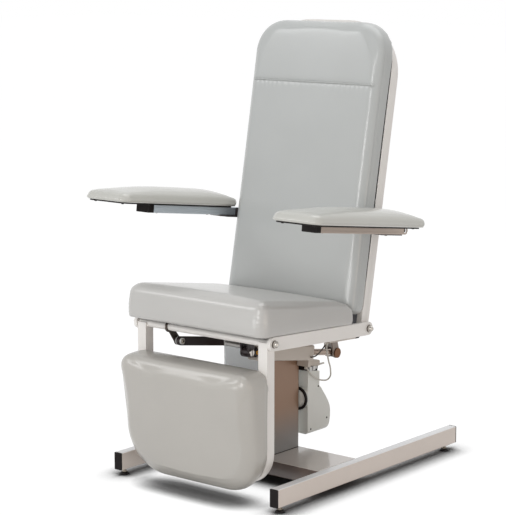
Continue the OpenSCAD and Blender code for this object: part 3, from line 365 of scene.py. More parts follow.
# %% Finish helper
def finish(name, group, code, gloss, metal=0.0, coat=0.0, coat_rough=0.2, shine=0.5,
           tones=None, **values):
    """Material whose colour, roughness and normal come from a group set to these values. Four
    tones of painted light and shade, for front, side, foot and top, take the place of the one colour."""
    material = bpy.data.materials.new(name)
    material.use_nodes = True
    tree = material.node_tree
    shader = next(n for n in tree.nodes if n.type == "BSDF_PRINCIPLED")
    base = colour(code)
    if tones:
        by_face = dict(zip(("Front", "Side", "Foot", "Top"), map(colour, tones)))
        base = add_node(tree, "Group", node_tree=painted_light_by_face.tree, **by_face)
    skin = add_node(tree, "Group", node_tree=group.tree, Color=base, Gloss=gloss, **values)
    fill_inputs(tree, shader, {
        "Base Color": skin.outputs["Color"], "Roughness": skin.outputs["Roughness"],
        "Normal": skin.outputs["Normal"], "Metallic": metal, "Coat Weight": coat,
        "Coat Roughness": coat_rough, "Specular IOR Level": shine})
    material.diffuse_color = colour(code)
    return material


# %% [markdown]
# The vinyls of the cushions come first, then the paints, plastics and rubbers, then the metals
# with the way in which each is drawn or turned.

# %% Finishes
LENGTHWAYS, UPRIGHT, TURNED = (900, 5, 900), (900, 900, 5), (300, 300, 300)
vinyl = finish("seat vinyl", vinyl_grain, "#BDBBB7", 0.34, coat=0.6, coat_rough=0.18)
# the back's vinyl is the seat's, toned darker as painted shade to offset the stronger light on the back
back_vinyl_painted_shade = finish("back vinyl with painted shade", vinyl_grain, "#B5B7B5", 0.34, coat=0.6, coat_rough=0.2)
leg_vinyl = finish("leg vinyl", vinyl_grain, "#B3AFA8", 0.34, coat=0.6, coat_rough=0.18)
arm_vinyl = finish("arm vinyl", vinyl_grain, "#BFBEB7", 0.33, coat=0.6, coat_rough=0.12)
frame_paint = finish("frame powder coat", skin_group, "#EEEAE5", 0.32, coat=0.1, Dust=0.03)
# its top tone, lighter and cooler than the rest, is painted light on the faces that look up
base_paint = finish("base powder coat with painted top light", skin_group, "#DCD0C6", 0.24, coat=0.3, coat_rough=0.08,
                    Dust=0.0, tones=("#DCD0C6", "#DCD0C6", "#DCD0C6", "#ECEBEB"))
# its dark front tone is painted shade under the leg rest, and its lighter top tone painted light
member_painted_shade = finish("cross member coat with painted shade", skin_group, "#C9BDB3", 0.2, coat=0.6,
                      coat_rough=0.04, Dust=0.02,
                      tones=("#6E5F57", "#C9BDB3", "#C9BDB3", "#D2C9C1"))
crossbar_paint = finish("crossbar paint", skin_group, "#8B8C93", 0.45)
dark_paint = finish("dark link paint", skin_group, "#2B2021", 0.42, Dust=0.02)
black_plastic = finish("black plastic", skin_group, "#150F0E", 0.5, shine=0.22, Peel=900.0,
                       Dust=0.0)
motor_plastic = finish("motor housing plastic", skin_group, "#E2E2DC", 0.42, Peel=800.0,
                       Dust=0.02)
beige_plastic = finish("beige plastic", skin_group, "#C9BFB4", 0.42, Peel=800.0, Dust=0.02)
white_nylon = finish("white nylon", skin_group, "#E4E4E2", 0.3, Dust=0.0)
pale_rubber = finish("pale cable sheath", skin_group, "#D3CEC5", 0.5, Peel=700.0, Dust=0.0)
dark_rubber = finish("dark cable sheath", skin_group, "#3A322E", 0.5, Peel=700.0, Dust=0.0)
foot_rubber = finish("foot rubber", skin_group, "#100B0B", 0.5, shine=0.25, Peel=600.0, Dust=0.0)
# frame paint toned darker: painted shade on the back frame's lugs
lug_painted_shade = finish("shaded lug paint", skin_group, "#9C8F86", 0.4, Dust=0.02)
pin_bronze = finish("bronzed pin", drawn_group, "#6E4A32", 0.3, metal=0.8, Stretch=TURNED)
dust_cover = finish("woven dust cover", skin_group, "#2C2C2E", 0.85, Peel=1500.0, Depth=0.6,
                    Dust=0.0)
# darker than the vinyl: a painted seam shadow, in the colour of the thread too
seam_shadow_thread = finish("seam shadow and thread", skin_group, "#A2A39F", 0.7, Peel=1500.0, Dust=0.0)
# its tones are painted reflections: pale on front, back and top, brown on the sides, grey near the foot
column_metal = finish("anodised column with painted reflections", drawn_group, "#A08C80", 0.36, metal=0.2,
                      Stretch=UPRIGHT, tones=("#FAFDFE", "#93755F", "#8E8C8A", "#FAFDFE"))
inner_metal = finish("anodised inner column", drawn_group, "#A9AAAA", 0.3, metal=0.9,
                     Stretch=UPRIGHT)
# the two arm rails are one metal: the right one's pale blue-grey is a painted reflection, and the left one's beige
# a painted shade and warm reflection
arm_metal = finish("arm profile with painted cool reflection", drawn_group, "#CBD4DB", 0.34, metal=0.3,
                   Stretch=LENGTHWAYS)
arm_profile_painted_shade = finish("arm profile with painted shade and reflection", drawn_group, "#B3A498", 0.36, metal=0.4,
                   Stretch=LENGTHWAYS)
chrome = finish("bright chrome", drawn_group, "#B9B4AE", 0.16, metal=1.0, Depth=0.02, Drift=0.02)
rod_metal = finish("ground rod", drawn_group, "#9A8A7E", 0.22, metal=1.0, Stretch=LENGTHWAYS)
zinc = finish("zinc plated steel", drawn_group, "#A39A8E", 0.3, metal=1.0, Stretch=TURNED)
dark_zinc = finish("dark plated steel", drawn_group, "#5A524C", 0.34, metal=0.9, Stretch=TURNED)
brass = finish("brass bush", drawn_group, "#B47F2C", 0.25, metal=1.0, Stretch=(400, 400, 400))
motor_metal = finish("motor casing paint", skin_group, "#5A5C60", 0.4)
print("finishes", len(bpy.data.materials))

# %% [markdown]
# The CAD nodes keep their own meshes. Each takes the finish of its material slot in the
# record. The steel and plastic ones also get a small live bevel, after a weld that joins
# their loose triangles, because real edges are never knife sharp and catch the light.

# %% Dress the CAD nodes
def bevelled(obj, width, degrees):
    """Live bevel of two segments on every edge sharper than this angle."""
    bevel = obj.modifiers.new("edges", "BEVEL")
    bevel.width, bevel.segments, bevel.limit_method = width, 2, "ANGLE"
    bevel.angle_limit = math.radians(degrees)


by_slot = {
    "frame_paint": frame_paint, "base_paint": base_paint, "column_metal": column_metal,
    "inner_column": inner_metal, "black_plastic": black_plastic, "foot_rubber": foot_rubber,
    "gasket_rubber": black_plastic, "motor_metal": motor_metal, "rod_chrome": rod_metal,
    "bolt_chrome": chrome, "dark_steel": dark_paint, "eye_steel": zinc, "white_nylon": white_nylon,
    "beige_plastic": beige_plastic, "grey_plastic": motor_plastic, "pale_cable": pale_rubber,
    "dark_cable": dark_rubber, "crossbar_paint": crossbar_paint, "board_wood": dust_cover,
    "vinyl": vinyl, "leg_vinyl": leg_vinyl, "arm_vinyl": arm_vinyl, "arm_metal": arm_metal}
edge_mm = {
    0.4: "arm_rail_left arm_rail_right", 0.5: "pivot_dome_nuts", 1.8: "back_frame",
    0.6: "arm_board_left arm_board_right actuator_bracket back_lugs leg_lug column_head",
    0.8: "column_outer connector_block link_bar back_crossbar seat_cross_beams rod_eye",
    1.0: "seat_rail_left seat_rail_right runner_end_caps actuator_front_eye control_box "
         "control_box_cover",
    1.2: "runner_left runner_right", 1.5: "cross_member actuator_gearbox", 3.0: "leg_frame",
    5.0: "motor_housing"}
edge_of = {name: mm/1000 for mm, names in edge_mm.items() for name in names.split()}
slot_of = {r["node"]: r["material_slot"] for r in frame["record"]["subparts"]}
# the left arm rail, the cross member and the back lugs take finishes with painted shade, light or reflection
own = {"arm_rail_left": arm_profile_painted_shade, "actuator_bracket": dark_paint, "leg_lug": dark_zinc,
       "arm_pivot_bolts": dark_zinc, "rod_pin": pin_bronze, "cross_member": member_painted_shade,
       "rod_eye": dark_zinc, "back_lugs": lug_painted_shade}
# loose corners closer than this are one
WELD = 1e-5
for name, node in nodes.items():
    if not node.material_slots:
        node.data.materials.append(None)
    for s in node.material_slots:
        s.link, s.material = "OBJECT", own.get(name) or by_slot[slot_of[name]]
    if name in edge_of:
        node.modifiers.new("weld", "WELD").merge_threshold = WELD
        bevelled(node, edge_of[name], 50)
print("dressed", len(nodes), "CAD nodes")

# %% [markdown]
# New pieces are points and faces worked out with numpy. One helper turns them into a mesh and
# hands it to its body, and another joins several shapes as one piece.

# %% Mesh helpers
def piece(name, points, faces, material, body, slot, smooth=True):
    """Mesh object from arrays of points and faces, riding on a CAD body."""
    mesh = bpy.data.meshes.new(name)
    mesh.from_pydata(np.asarray(points, float), [], faces)
    mesh.polygons.foreach_set("use_smooth", np.full(len(mesh.polygons), smooth))
    mesh.update()
    obj = bpy.data.objects.new(name, mesh)
    scene.collection.objects.link(obj)
    mesh.materials.append(material)
    if body:
        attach(obj, body)
    return obj


def moved(matrix, points):
    """Points carried by a 4 by 4 frame: R p + t."""
    p = np.asarray(points, float)
    return p@matrix[:3, :3].T + matrix[:3, 3]


def joined(parts):
    """Several (points, faces) lists as one."""
    points, faces, n = [], [], 0
    for p, f in parts:
        points.append(np.asarray(p, float))
        faces += [[v + n for v in face] for face in f]
        n += len(p)
    return np.concatenate(points), faces


def assembled(name, parts, material, body, slot, matrix=None, smooth=True):
    """One piece from several (points, faces), carried by a tilted frame where one is given."""
    points, faces = joined(parts)
    if matrix is not None:
        points = moved(matrix, points)
    return piece(name, points, faces, material, body, slot, smooth)


# %% [markdown]
# A turned part carries a profile round an axis, and a tube carries a ring along a path. Both
# are closed round and capped at their ends.

# %% Turned parts and tubes
def quads(rows, cols, around=False, start=0):
    """Faces of a rows by cols grid, closed in its second direction when around is true."""
    i, j = np.meshgrid(np.arange(rows - 1), np.arange(cols if around else cols - 1),
                       indexing="ij")
    k = (j + 1) % cols
    corners = np.stack([i*cols + j, i*cols + k, (i + 1)*cols + k, (i + 1)*cols + j], -1)
    return corners.reshape(-1, 4) + start


def capped(rings):
    """Rings of points as a closed tube: its points, its quads and its two end caps."""
    n, sides = rings.shape[:2]
    ends = [list(range(sides))[::-1], list(range((n - 1)*sides, n*sides))]
    return rings.reshape(-1, 3), quads(n, sides, True).tolist() + ends


def lathe(profile, at, axis, sides=32):
    """Turned part: radius r and height h of a profile carried round an axis at a point.
    Point = at + r (cos a u + sin a v) + h axis."""
    prof = np.asarray(profile, float)
    w = np.asarray(axis, float)/np.linalg.norm(axis)
    u = np.cross(w, [0.31, 0.87, 0.37])
    u /= np.linalg.norm(u)
    v = np.cross(w, u)
    a = np.linspace(0, 2*np.pi, sides, endpoint=False)
    ring = np.cos(a)[:, None]*u + np.sin(a)[:, None]*v
    return capped(np.asarray(at) + prof[:, None, :1]*ring[None] + prof[:, None, 1:]*w)


def tube(path, radius, sides=10):
    """Round tube along a path: each ring lies across the mean of its two segments. The ring's
    frame is carried on from one point to the next, so that it doesn't twist."""
    p = np.asarray(path, float)
    d = np.gradient(p, axis=0)
    d /= np.linalg.norm(d, axis=1)[:, None]
    u = np.cross(d[0], [0.3, 0.5, 0.81])
    frames = []
    for t in d:
        u = u - (u@t)*t
        u /= np.linalg.norm(u)
        frames.append((u, np.cross(t, u)))
    a = np.linspace(0, 2*np.pi, sides, endpoint=False)
    uv = np.array(frames)
    r = np.broadcast_to(np.asarray(radius, float), len(p))[:, None, None]
    return capped(p[:, None] + r*(np.cos(a)[:, None]*uv[:, None, 0]
                                  + np.sin(a)[:, None]*uv[:, None, 1]))


def smooth_path(points, count):
    """Catmull-Rom curve through points, count points long, at even parameter steps."""
    p = np.asarray(points, float)
    p = np.concatenate([[2*p[0] - p[1]], p, [2*p[-1] - p[-2]]])
    t = np.linspace(0, len(p) - 3 - 1e-9, count)
    i, f = t.astype(int), (t % 1)[:, None]
    a, b, c, d = p[i], p[i + 1], p[i + 2], p[i + 3]
    return 0.5*(2*b + (c - a)*f + (2*a - 5*b + 4*c - d)*f**2 + (3*b - a - 3*c + d)*f**3)


# %% [markdown]
# ## Cables
# Two cables show under the seat. A pale one hangs in a loop from the control box to the
# connector block of the recline motor, and a thin dark one runs to the actuator's casing.
# Their routes are the same as in the CAD, smoothed.

# %% Cables
def length_of(path):
    return float(np.linalg.norm(np.diff(path, axis=0), axis=1).sum())


control_route = np.array([
    [165, 10.5, 425.1], [165, 10.5, 419], [163, 11.5, 410], [159, 16.5, 398], [154, 25.5, 384],
    [148, 37.5, 368], [142, 50.5, 350], [137, 64.5, 331], [131, 75.5, 313], [126, 82.5, 298],
    [119, 83.5, 286], [113, 77.5, 280], [109, 64.5, 281], [107, 46.5, 286], [106, 27.5, 295],
    [106, 9.5, 307], [106, -4.5, 320], [105, -10.5, 329], [102, -11.5, 333],
    [96.2, -11.5, 333]])/1000
sensor_route = np.array([
    [170, -6.5, 426.1], [170, -6.5, 421], [168, -6.5, 414], [162, -7.5, 404], [154, -12.5, 392],
    [148, -22.5, 382], [144, -31.5, 379], [140, -35.5, 378], [135.2, -35.5, 378]])/1000
LEAD_SIDES = 12
for label, route, count, d, material, slot, node in (
        ("control_lead", control_route, 90, 0.005, pale_rubber, "pale_cable", "control_cable"),
        ("sensor_lead", sensor_route, 48, 0.004, dark_rubber, "dark_cable", "sensor_cable")):
    path = smooth_path(route, count)
    lead = piece(label, *tube(path, d/2, LEAD_SIDES), material, "seat", slot)
    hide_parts(node)
    print(label, round(length_of(path), 3), "m long")

# %% [markdown]
# ## Upholstery
# Each cushion is foam on a flat board, pulled tight in coated fabric. Its plan is a
# rectangle with rounded corners; its top is flat in the middle, crowned a little, and rolls
# over at the edge on a soft radius. That surface is a formula, but fabric pulled over foam
# isn't that even, so the formula's mesh is remeshed and inflated by Blender's cloth
# simulation, with each point's travel capped, and the seams are sunk in afterwards.

# %% The cushion's formula
def cushion_surface(half, length, r0, r1, t0, t1, edge, crown, bulge, pull, rows=60, cols=40,
                    fall=4, drop=1.0, soft=1.0, fall_tail=None):
    """Closed cushion on a flat underside, in its own frame (x across, s along, h thick).
    Half width at s is w(s) = half - r + sqrt(r^2 - (r - d)^2) inside a corner of radius r, d
    from that end. Height is t(s) - e + sqrt(e^2 - (e - min(d, e))^2)
    + crown (1 - u^2)(1 - v^fall), with d the distance inside the outline. Walls swell by bulge
    at mid height, and the sides draw in by pull sin(pi s / length). The tail end rolls over
    drop times as fast, and the roll is soft times as deep as it is wide."""
    a = np.linspace(0, np.pi/2, rows//4)
    s = np.concatenate([r0*(1 - np.cos(a)), np.linspace(r0, length - r1, rows//2)[1:-1],
                        length - r1*(1 - np.sin(a))])
    n, m = len(s), 2*cols + 1
    lead, tail = np.clip(r0 - s, 0, None), np.clip(s - length + r1, 0, None)
    w = half + np.where(s < r0, np.sqrt(np.clip(r0**2 - lead**2, 0, None)) - r0, 0)
    w = w + np.where(s > length - r1, np.sqrt(np.clip(r1**2 - tail**2, 0, None)) - r1, 0)
    u = np.sin(np.linspace(-np.pi/2, np.pi/2, m))
    x = w[:, None]*u[None]
    S = np.repeat(s[:, None], m, 1)
    ax = np.abs(x)
    d = np.minimum(np.minimum(half - ax, S), (length - S)*drop)
    for r, over in ((r0, lead), (r1, tail)):
        corner = (over[:, None] > 0) & (ax > half - r)
        inside = r*(drop if r == r1 else 1) - np.hypot(over[:, None], ax - half + r)
        d = np.where(corner, np.minimum(d, inside), d)
    d = np.clip(d, 0, edge)
    roll = edge - np.sqrt(np.clip(edge**2 - (edge - d)**2, 0, None))
    h = (t0 + (t1 - t0)*S/length) - soft*roll
    v = 2*S/length - 1
    h += crown*(1 - (x/half)**2)*(1 - np.abs(v)**np.where(v > 0, fall_tail or fall, fall))
    top = np.stack([x, S, h], -1)
    loop = np.concatenate([np.arange(m), np.arange(1, n)*m + m - 1,
                           (n - 1)*m + np.arange(m - 2, -1, -1), np.arange(n - 2, 0, -1)*m])
    rim = top.reshape(-1, 3)[loop]
    c = np.stack([np.clip(rim[:, 0], r0 - half, half - r0),
                  np.clip(rim[:, 1], r0, length - r1)], -1)
    out = rim[:, :2] - c
    out /= np.maximum(np.linalg.norm(out, axis=1), 1e-9)[:, None]
    k = np.linspace(0, 1, 7)[:-1, None]
    swell = bulge*(np.sin(np.pi*np.clip(k, 0, 1))*1.4 - 0.5*(1 - k)**2)
    wall = np.concatenate([rim[None, :, :2] + out[None]*swell[..., None],
                           rim[None, :, 2:]*k[..., None]], -1)
    points = np.concatenate([top.reshape(-1, 3), wall[::-1].reshape(-1, 3), [[0, length/2, 0]]])
    points[:, 0] *= 1 - pull/half*np.sin(np.pi*np.clip(points[:, 1]/length, 0, 1))
    count = len(loop)
    faces = quads(n, m)[:, ::-1].tolist()
    faces += [[loop[q], loop[(q + 1) % count], n*m + (q + 1) % count, n*m + q][::-1]
              for q in range(count)]
    faces += quads(6, count, True, n*m)[:, ::-1].tolist()
    last = n*m + 5*count
    faces += [[last + q, last + (q + 1) % count, n*m + 6*count][::-1] for q in range(count)]
    return points, [[int(v) for v in f] for f in faces]


# %% Read and even out a mesh
def baked(obj):
    """The object's mesh with its modifiers worked in, as a new mesh."""
    deps = bpy.context.evaluated_depsgraph_get()
    return bpy.data.meshes.new_from_object(obj.evaluated_get(deps))


def vertices(mesh):
    """The mesh's points as an array."""
    co = np.empty(len(mesh.vertices)*3)
    mesh.vertices.foreach_get("co", co)
    return co.reshape(-1, 3)


def evened(mesh, field, rounds=60):
    """Field on the vertices, smoothed: each round f becomes (f + its neighbours' mean)/2."""
    edge = np.empty(len(mesh.edges)*2, int)
    mesh.edges.foreach_get("vertices", edge)
    a, b = edge.reshape(-1, 2).T
    n = len(mesh.vertices)
    ends = np.maximum(np.bincount(a, minlength=n) + np.bincount(b, minlength=n), 1)
    for _ in range(rounds):
        around = np.stack([np.bincount(a, field[b, k], n) + np.bincount(b, field[a, k], n)
                           for k in range(3)], -1)
        field = 0.5*(field + around/ends[:, None])
    return field


# %% [markdown]
# The simulation swells the closed mesh under pressure, pinned at its flat underside. Its
# result is evened out, because this cover is taut, and only a quarter of the travel along the
# board is kept, so that the outline stays as wide as the board wants it.

# %% Inflate a cushion
# frames run, cloth pressure, share of travel kept along the board, and the height from
# which the cover is free
FRAMES, PRESSURE, IN_PLANE, FREE_FROM = 20, 4, 0.25, 0.02


def inflate(name, points, faces, voxel, cap):
    """Remeshes a closed cushion, swells it under cloth pressure, and caps how far each point
    travels: p + d min(1, cap/|d|), fading to nothing at the underside."""
    obj = piece(name, points, faces, None, None, None)
    remesh = obj.modifiers.new("voxels", "REMESH")
    remesh.mode, remesh.voxel_size = "VOXEL", voxel
    obj.data = baked(obj)
    obj.modifiers.clear()
    rest = vertices(obj.data)
    cloth = obj.modifiers.new("cloth", "CLOTH")
    cloth.settings.use_pressure = True
    cloth.settings.uniform_pressure_force = PRESSURE
    cloth.settings.effector_weights.gravity = 0
    cloth.settings.quality = 4
    pinned = obj.vertex_groups.new(name="underside")
    pinned.add([int(i) for i in np.flatnonzero(rest[:, 2] < voxel*0.8)], 1.0, "REPLACE")
    cloth.settings.vertex_group_mass = "underside"
    for f in range(1, FRAMES + 1):
        scene.frame_set(f)
    grown = evened(obj.data, vertices(baked(obj)) - rest)*[IN_PLANE, IN_PLANE, 1]
    obj.modifiers.clear()
    scene.frame_set(1)
    far = np.linalg.norm(grown, axis=1)[:, None]
    free = np.clip(rest[:, 2:]/FREE_FROM, 0, 1)
    rest = rest + grown*np.minimum(1, cap/np.maximum(far, 1e-9))*free
    rest[:, 2] = np.maximum(rest[:, 2], 0)
    obj.data.vertices.foreach_set("co", rest.ravel())
    finer = obj.modifiers.new("finer", "SUBSURF")
    finer.levels = finer.render_levels = 1
    obj.data = baked(obj)
    obj.modifiers.clear()
    print(name, len(obj.data.vertices), "points")
    return obj


# %% Cover and crease a cushion
def upholster(obj, co, matrix, material, body, node):
    """Puts the finished points into place and hands the piece to its body."""
    obj.data.vertices.foreach_set("co", moved(matrix, co).ravel())
    obj.data.polygons.foreach_set("use_smooth", np.full(len(obj.data.polygons), True))
    obj.data.materials.clear()
    obj.data.materials.append(material)
    obj.data.update()
    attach(obj, body)
    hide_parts(node)


def groove(co, distance, depth, width, inward):
    """Moves points by depth exp(-(distance/width)^2) along inward."""
    return co + inward*(depth*np.exp(-(distance/width)**2))[:, None]


# %% [markdown]
# The seat cushion is a wedge, thickest at the front, so that its top slopes back to the
# sitter's hips. Its cover is one taut piece, folded at the corners, where it puckers.

# %% Seat cushion
# the board's top, the cushion's front end, and how full it is
SEAT_BASE, SEAT_START, FILL = 0.0213, -0.063, 0.8
length, half = 0.4475, 0.277
points, faces = cushion_surface(half, length, r0=0.038, r1=0.010, t0=0.107, t1=0.065,
                                edge=0.036, crown=0.008, bulge=0.002, pull=0.0025, drop=2.5,
                                soft=0.85)
seat = inflate("seat_cushion_cover", points, faces, voxel=0.006, cap=0.003)
co = vertices(seat.data)
corner = np.exp(-((np.abs(co[:, 0]) - half)/0.045)**2 - (co[:, 1]/0.045)**2)
fold = np.sin(2*np.pi*co[:, 2]/0.013 + 1.5*np.sin(co[:, 0]*90))*np.clip(co[:, 2]/0.03, 0, 1)
outward = np.stack([np.sign(co[:, 0]), -np.ones(len(co)), 0*co[:, 0]], -1)/math.sqrt(2)
co = co + outward*(0.0003*corner*fold)[:, None] + [0, SEAT_START, SEAT_BASE]
upholster(seat, co, SEAT, vinyl, "seat", "seat_cushion")

# %% [markdown]
# The back cushion is long and even, with a seam sewn across at shoulder height that pulls
# the cover in and leaves small puckers under it.

# %% Back cushion
def inward_from(co, middle):
    """Unit vectors in the board's plane, from each point towards (0, middle)."""
    way = np.stack([-co[:, 0], middle - co[:, 1], 0*co[:, 0]], -1)
    return way/np.maximum(np.linalg.norm(way, axis=1), 1e-6)[:, None]


LOW, TOP, SEAM = 0.036, 0.956, 0.751
# the board's face, the cushion's low end, and its two end gaps
BACK_BASE, BACK_START, GAP = 0.0253, LOW + 0.0025, 0.005
length, half = TOP - LOW - GAP, 0.2605
points, faces = cushion_surface(half, length, r0=0.026, r1=0.107, t0=0.0605, t1=0.0605,
                                edge=0.029, crown=0.003, bulge=0.0015, pull=0.002, rows=80,
                                soft=0.85)
back = inflate("back_cushion_cover", points, faces, voxel=0.0065, cap=0.003)
co = vertices(back.data)
inside = np.clip((half + 0.004 - np.abs(co[:, 0]))/0.03, 0, 1)
lie = np.clip((co[:, 2] - 0.03)/0.03, 0, 1)*inside
across = co[:, 1] - (SEAM - LOW)
down = np.tile([0.0, 0, -1.0], (len(co), 1))*lie[:, None]
for depth, width in ((0.0018, 0.0028), (0.0008, 0.010)):
    co = groove(co, across, depth, width, down)
rim = np.minimum(np.minimum(half - np.abs(co[:, 0]), co[:, 1]), length - co[:, 1])
walls = inward_from(co, length/2)*np.clip(1 - rim/0.02, 0, 1)[:, None]
co = groove(co, co[:, 2] - 0.038, 0.0028, 0.0036, walls)
pucker = np.cos(2*np.pi*co[:, 0]/0.021 + 2*np.sin(co[:, 0]*37))*np.exp(-np.abs(across)/0.022)
co[:, 2] += 0.0005*pucker*lie*(across < 0)
back_cover = np.stack([co[:, 0], -BACK_BASE - co[:, 2], BACK_START + co[:, 1]], -1)
upholster(back, back_cover, BACK, back_vinyl_painted_shade, "back", "back_cushion")

# %% [markdown]
# The leg cushion is a wedge too, thick at the knees and thin at the heels, with big round
# lower corners.

# %% Leg cushion
# the board's face and the cushion's low end
LEG_BASE, LEG_START = 0.0173, 0.031 + 0.0025
length, half = 0.383, 0.266
points, faces = cushion_surface(half, length, r0=0.148, r1=0.048, t0=0.0515, t1=0.102,
                                edge=0.042, crown=0.006, bulge=0.002, pull=0.002, soft=0.8)
leg = inflate("leg_cushion_cover", points, faces, voxel=0.006, cap=0.0045)
co = vertices(leg.data)
co = groove(co, co[:, 2] - 0.012, 0.0016, 0.0032, inward_from(co, 0.55*length))
local = np.stack([co[:, 0], -LEG_BASE - co[:, 2], LEG_START + co[:, 1] - front.z], -1)
upholster(leg, local, LEG, leg_vinyl, "leg", "leg_cushion")

# %% [markdown]
# The two arm cushions are the same pad. It is thin at its rim and swells to a low crown.

# %% Arm cushions
# the pad's middle, its front end and the board's top, in the arm's frame
ARM_OUT, ARM_FRONT, ARM_BOARD = 0.0434, -0.5926, 0.0173
SIDES = (("left", 1), ("right", -1))
length, half = 0.549, 0.089
points, faces = cushion_surface(half, length, r0=0.034, r1=0.022, t0=0.0265, t1=0.0265,
                                edge=0.0155, crown=0.0215, bulge=0.003, pull=0.001, fall=2.4,
                                fall_tail=6, drop=1.8)
for side_name, sign in SIDES:
    pad = inflate(f"arm_cushion_cover_{side_name}", points, faces, voxel=0.0045, cap=0.002)
    local = vertices(pad.data) + [sign*ARM_OUT, ARM_FRONT, ARM_BOARD]
    upholster(pad, local, ARM[side_name], arm_vinyl, f"arm_{side_name}",
              f"arm_cushion_{side_name}")

# %% [markdown]
# ## Seams and staples
# The cover of the back is sewn across at shoulder height. The groove is already in the
# cushion; in it lies a thin darker tube, a painted seam shadow that stands for the thread too,
# and beside it are its stitches. A stitch is a few millimetres of tube that dips into the cover
# at both ends, and a row of them is one mesh.

# %% Back seam and its stitches
def stick_out(x, z):
    """Depth, in its own frame, of the back cover's outermost vertex within 6 mm of (x, z)."""
    near = np.hypot(back_cover[:, 0] - x, back_cover[:, 2] - z) < 0.006
    return float(back_cover[near, 1].min())


def stitches(ends, radius=0.0004, lift=0.0003, sides=5):
    """Row of stitches: each runs p(t) = a + (b - a) t + lift sin(pi t) outwards, 0 <= t <= 1."""
    t = np.linspace(0, 1, 5)[:, None]
    return joined([tube(a + (b - a)*t + np.array([0, -lift, 0])*np.sin(np.pi*t), radius, sides)
                   for a, b in ends])


# spacing and length of stitches, and how far before the thread and above it they lie
PITCH, STITCH, BEFORE, ABOVE = 0.0052, 0.0036, 0.0012, 0.0062
seam_x = np.linspace(-0.243, 0.243, 60)
seam_line = np.array([[x, stick_out(x, SEAM), SEAM + 0.0006] for x in seam_x])
# a thin darker tube in the seam's groove: painted seam shadow, standing for the thread too
piece("back_seam_shadow_line", *tube(moved(BACK, seam_line), 0.0007, 6), seam_shadow_thread, "back", "vinyl")
rows = np.arange(-0.240, 0.240, PITCH)
depth = np.interp(rows, seam_x, seam_line[:, 1])
pairs = [(np.array([x, y - BEFORE, SEAM + ABOVE]),
          np.array([x + STITCH, y - BEFORE, SEAM + ABOVE])) for x, y in zip(rows, depth)]
assembled("back_seam_stitches", [stitches(pairs)], back_vinyl_painted_shade, "back", "vinyl", BACK)
print("stitches", len(pairs))

# %% [markdown]
# Behind, the cover is stapled to the panel under a dark cloth. Staples are little arches of
# wire; one is made once and set along each edge of the panel.

# %% Staples on the backs of the three panels
def staples(centres, along, out, width=0.011, wire=0.0005):
    """Staples: at each centre an arch of wire of this width, its middle 0.6 mm off along out."""
    a, n = np.asarray(along, float), np.asarray(out, float)
    t = np.array([[-0.5, -0.001], [-0.5, 0.0003], [-0.4, 0.0006], [0.4, 0.0006], [0.5, 0.0003],
                  [0.5, -0.001]])
    return joined([tube(np.asarray(c) + t[:, :1]*width*a + t[:, 1:]*n, wire, 4)
                   for c in centres])


def edge_row(fixed, start, stop, step, axis, plane, plane_axis):
    """Centres along one edge: start to stop on axis, the plane's value on its own axis."""
    k = np.arange(start, stop, step)
    c = np.zeros((len(k), 3))
    c[:, axis], c[:, plane_axis], c[:, 3 - axis - plane_axis] = k, plane, fixed
    return c


X, Y, Z = range(3)
for label, matrix, out, plane, plane_axis, rows in (
        ("back", BACK, (0, 1, 0), -0.0247, Y,
         ((-0.229, 0.085, 0.87, 0.048, Z), (0.229, 0.085, 0.87, 0.048, Z),
          (0.074, -0.2, 0.2, 0.048, X))),
        ("seat", SEAT, (0, 0, -1), 0.0207, Z,
         ((-0.238, -0.02, 0.34, 0.045, Y), (0.238, -0.02, 0.34, 0.045, Y),
          (-0.038, -0.21, 0.21, 0.045, X))),
        ("leg", LEG, (0, 1, 0), -0.0167, Y,
         ((-0.213, -0.24, -0.115, 0.04, Z), (0.213, -0.24, -0.115, 0.04, Z)))):
    parts = [staples(edge_row(*row, plane, plane_axis), np.eye(3)[row[-1]], out)
             for row in rows]
    assembled(label + "_panel_staples", parts, zinc, label, "bolt_chrome", matrix)
    print(label, "panel stapled along", len(rows), "edges")

# %% [markdown]
# ## Bolts, nuts and pins
# Each pivot ends in an acorn nut on a thick washer. Its hexagon is a lathe with six sides and
# chamfered corners, and the dome is a lathe with many. Profiles of turned parts are lists of
# radius and height in millimetres.

# %% Acorn nuts on the four pivots
def turned(profile, at, axis, sides=32):
    """Profile in millimetres, turned round an axis at a point in metres."""
    return lathe(np.asarray(profile, float)/1000, at, axis, sides)


def round_over(r, h, n=9):
    """Quarter round from radius r at height 0 to the axis at height h: (r cos a, h sin a)."""
    a = np.linspace(0, np.pi/2*0.97, n)
    return [(r*math.cos(v), h*math.sin(v)) for v in a]


def pick(frame_matrix, point):
    """One point carried by a tilted frame."""
    return moved(frame_matrix, [point])[0]


NUT_OUT = 0.272
WASHER = [(6, 0), (11.4, 0), (12, 0.5), (12, 1.6), (11.4, 2.1), (9, 2.1)]
HEXAGON = [(9, 2), (11.0, 2.1), (11.9, 3.0), (11.9, 7.0), (10.6, 8.0), (9.1, 8.2)]
DOME = [(8.9, 7.5)] + [(r, 8.1 + h) for r, h in round_over(9.0, 8.2)]
span = float(np.hypot(rear.y - front.y, rear.z - front.z))
washers, nuts, shaded = [], [], []
for s in (-1, 1):
    for y in (0, span):
        at = pick(SEAT, (s*NUT_OUT, y, 0))
        washers.append(turned(WASHER, at, (s, 0, 0)))
        hexagon, dome = turned(HEXAGON, at, (s, 0, 0), 6), turned(DOME, at, (s, 0, 0), 32)
        nuts += [hexagon, dome]
        shaded += [False]*len(hexagon[1]) + [len(face) == 4 for face in dome[1]]
assembled("pivot_washers", washers, dark_zinc, "seat", "bolt_chrome")
caps = assembled("pivot_acorn_nuts", nuts, chrome, "seat", "bolt_chrome", smooth=False)
caps.data.polygons.foreach_set("use_smooth", shaded)
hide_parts("pivot_dome_nuts")
print("acorn nuts", len(nuts)//2)

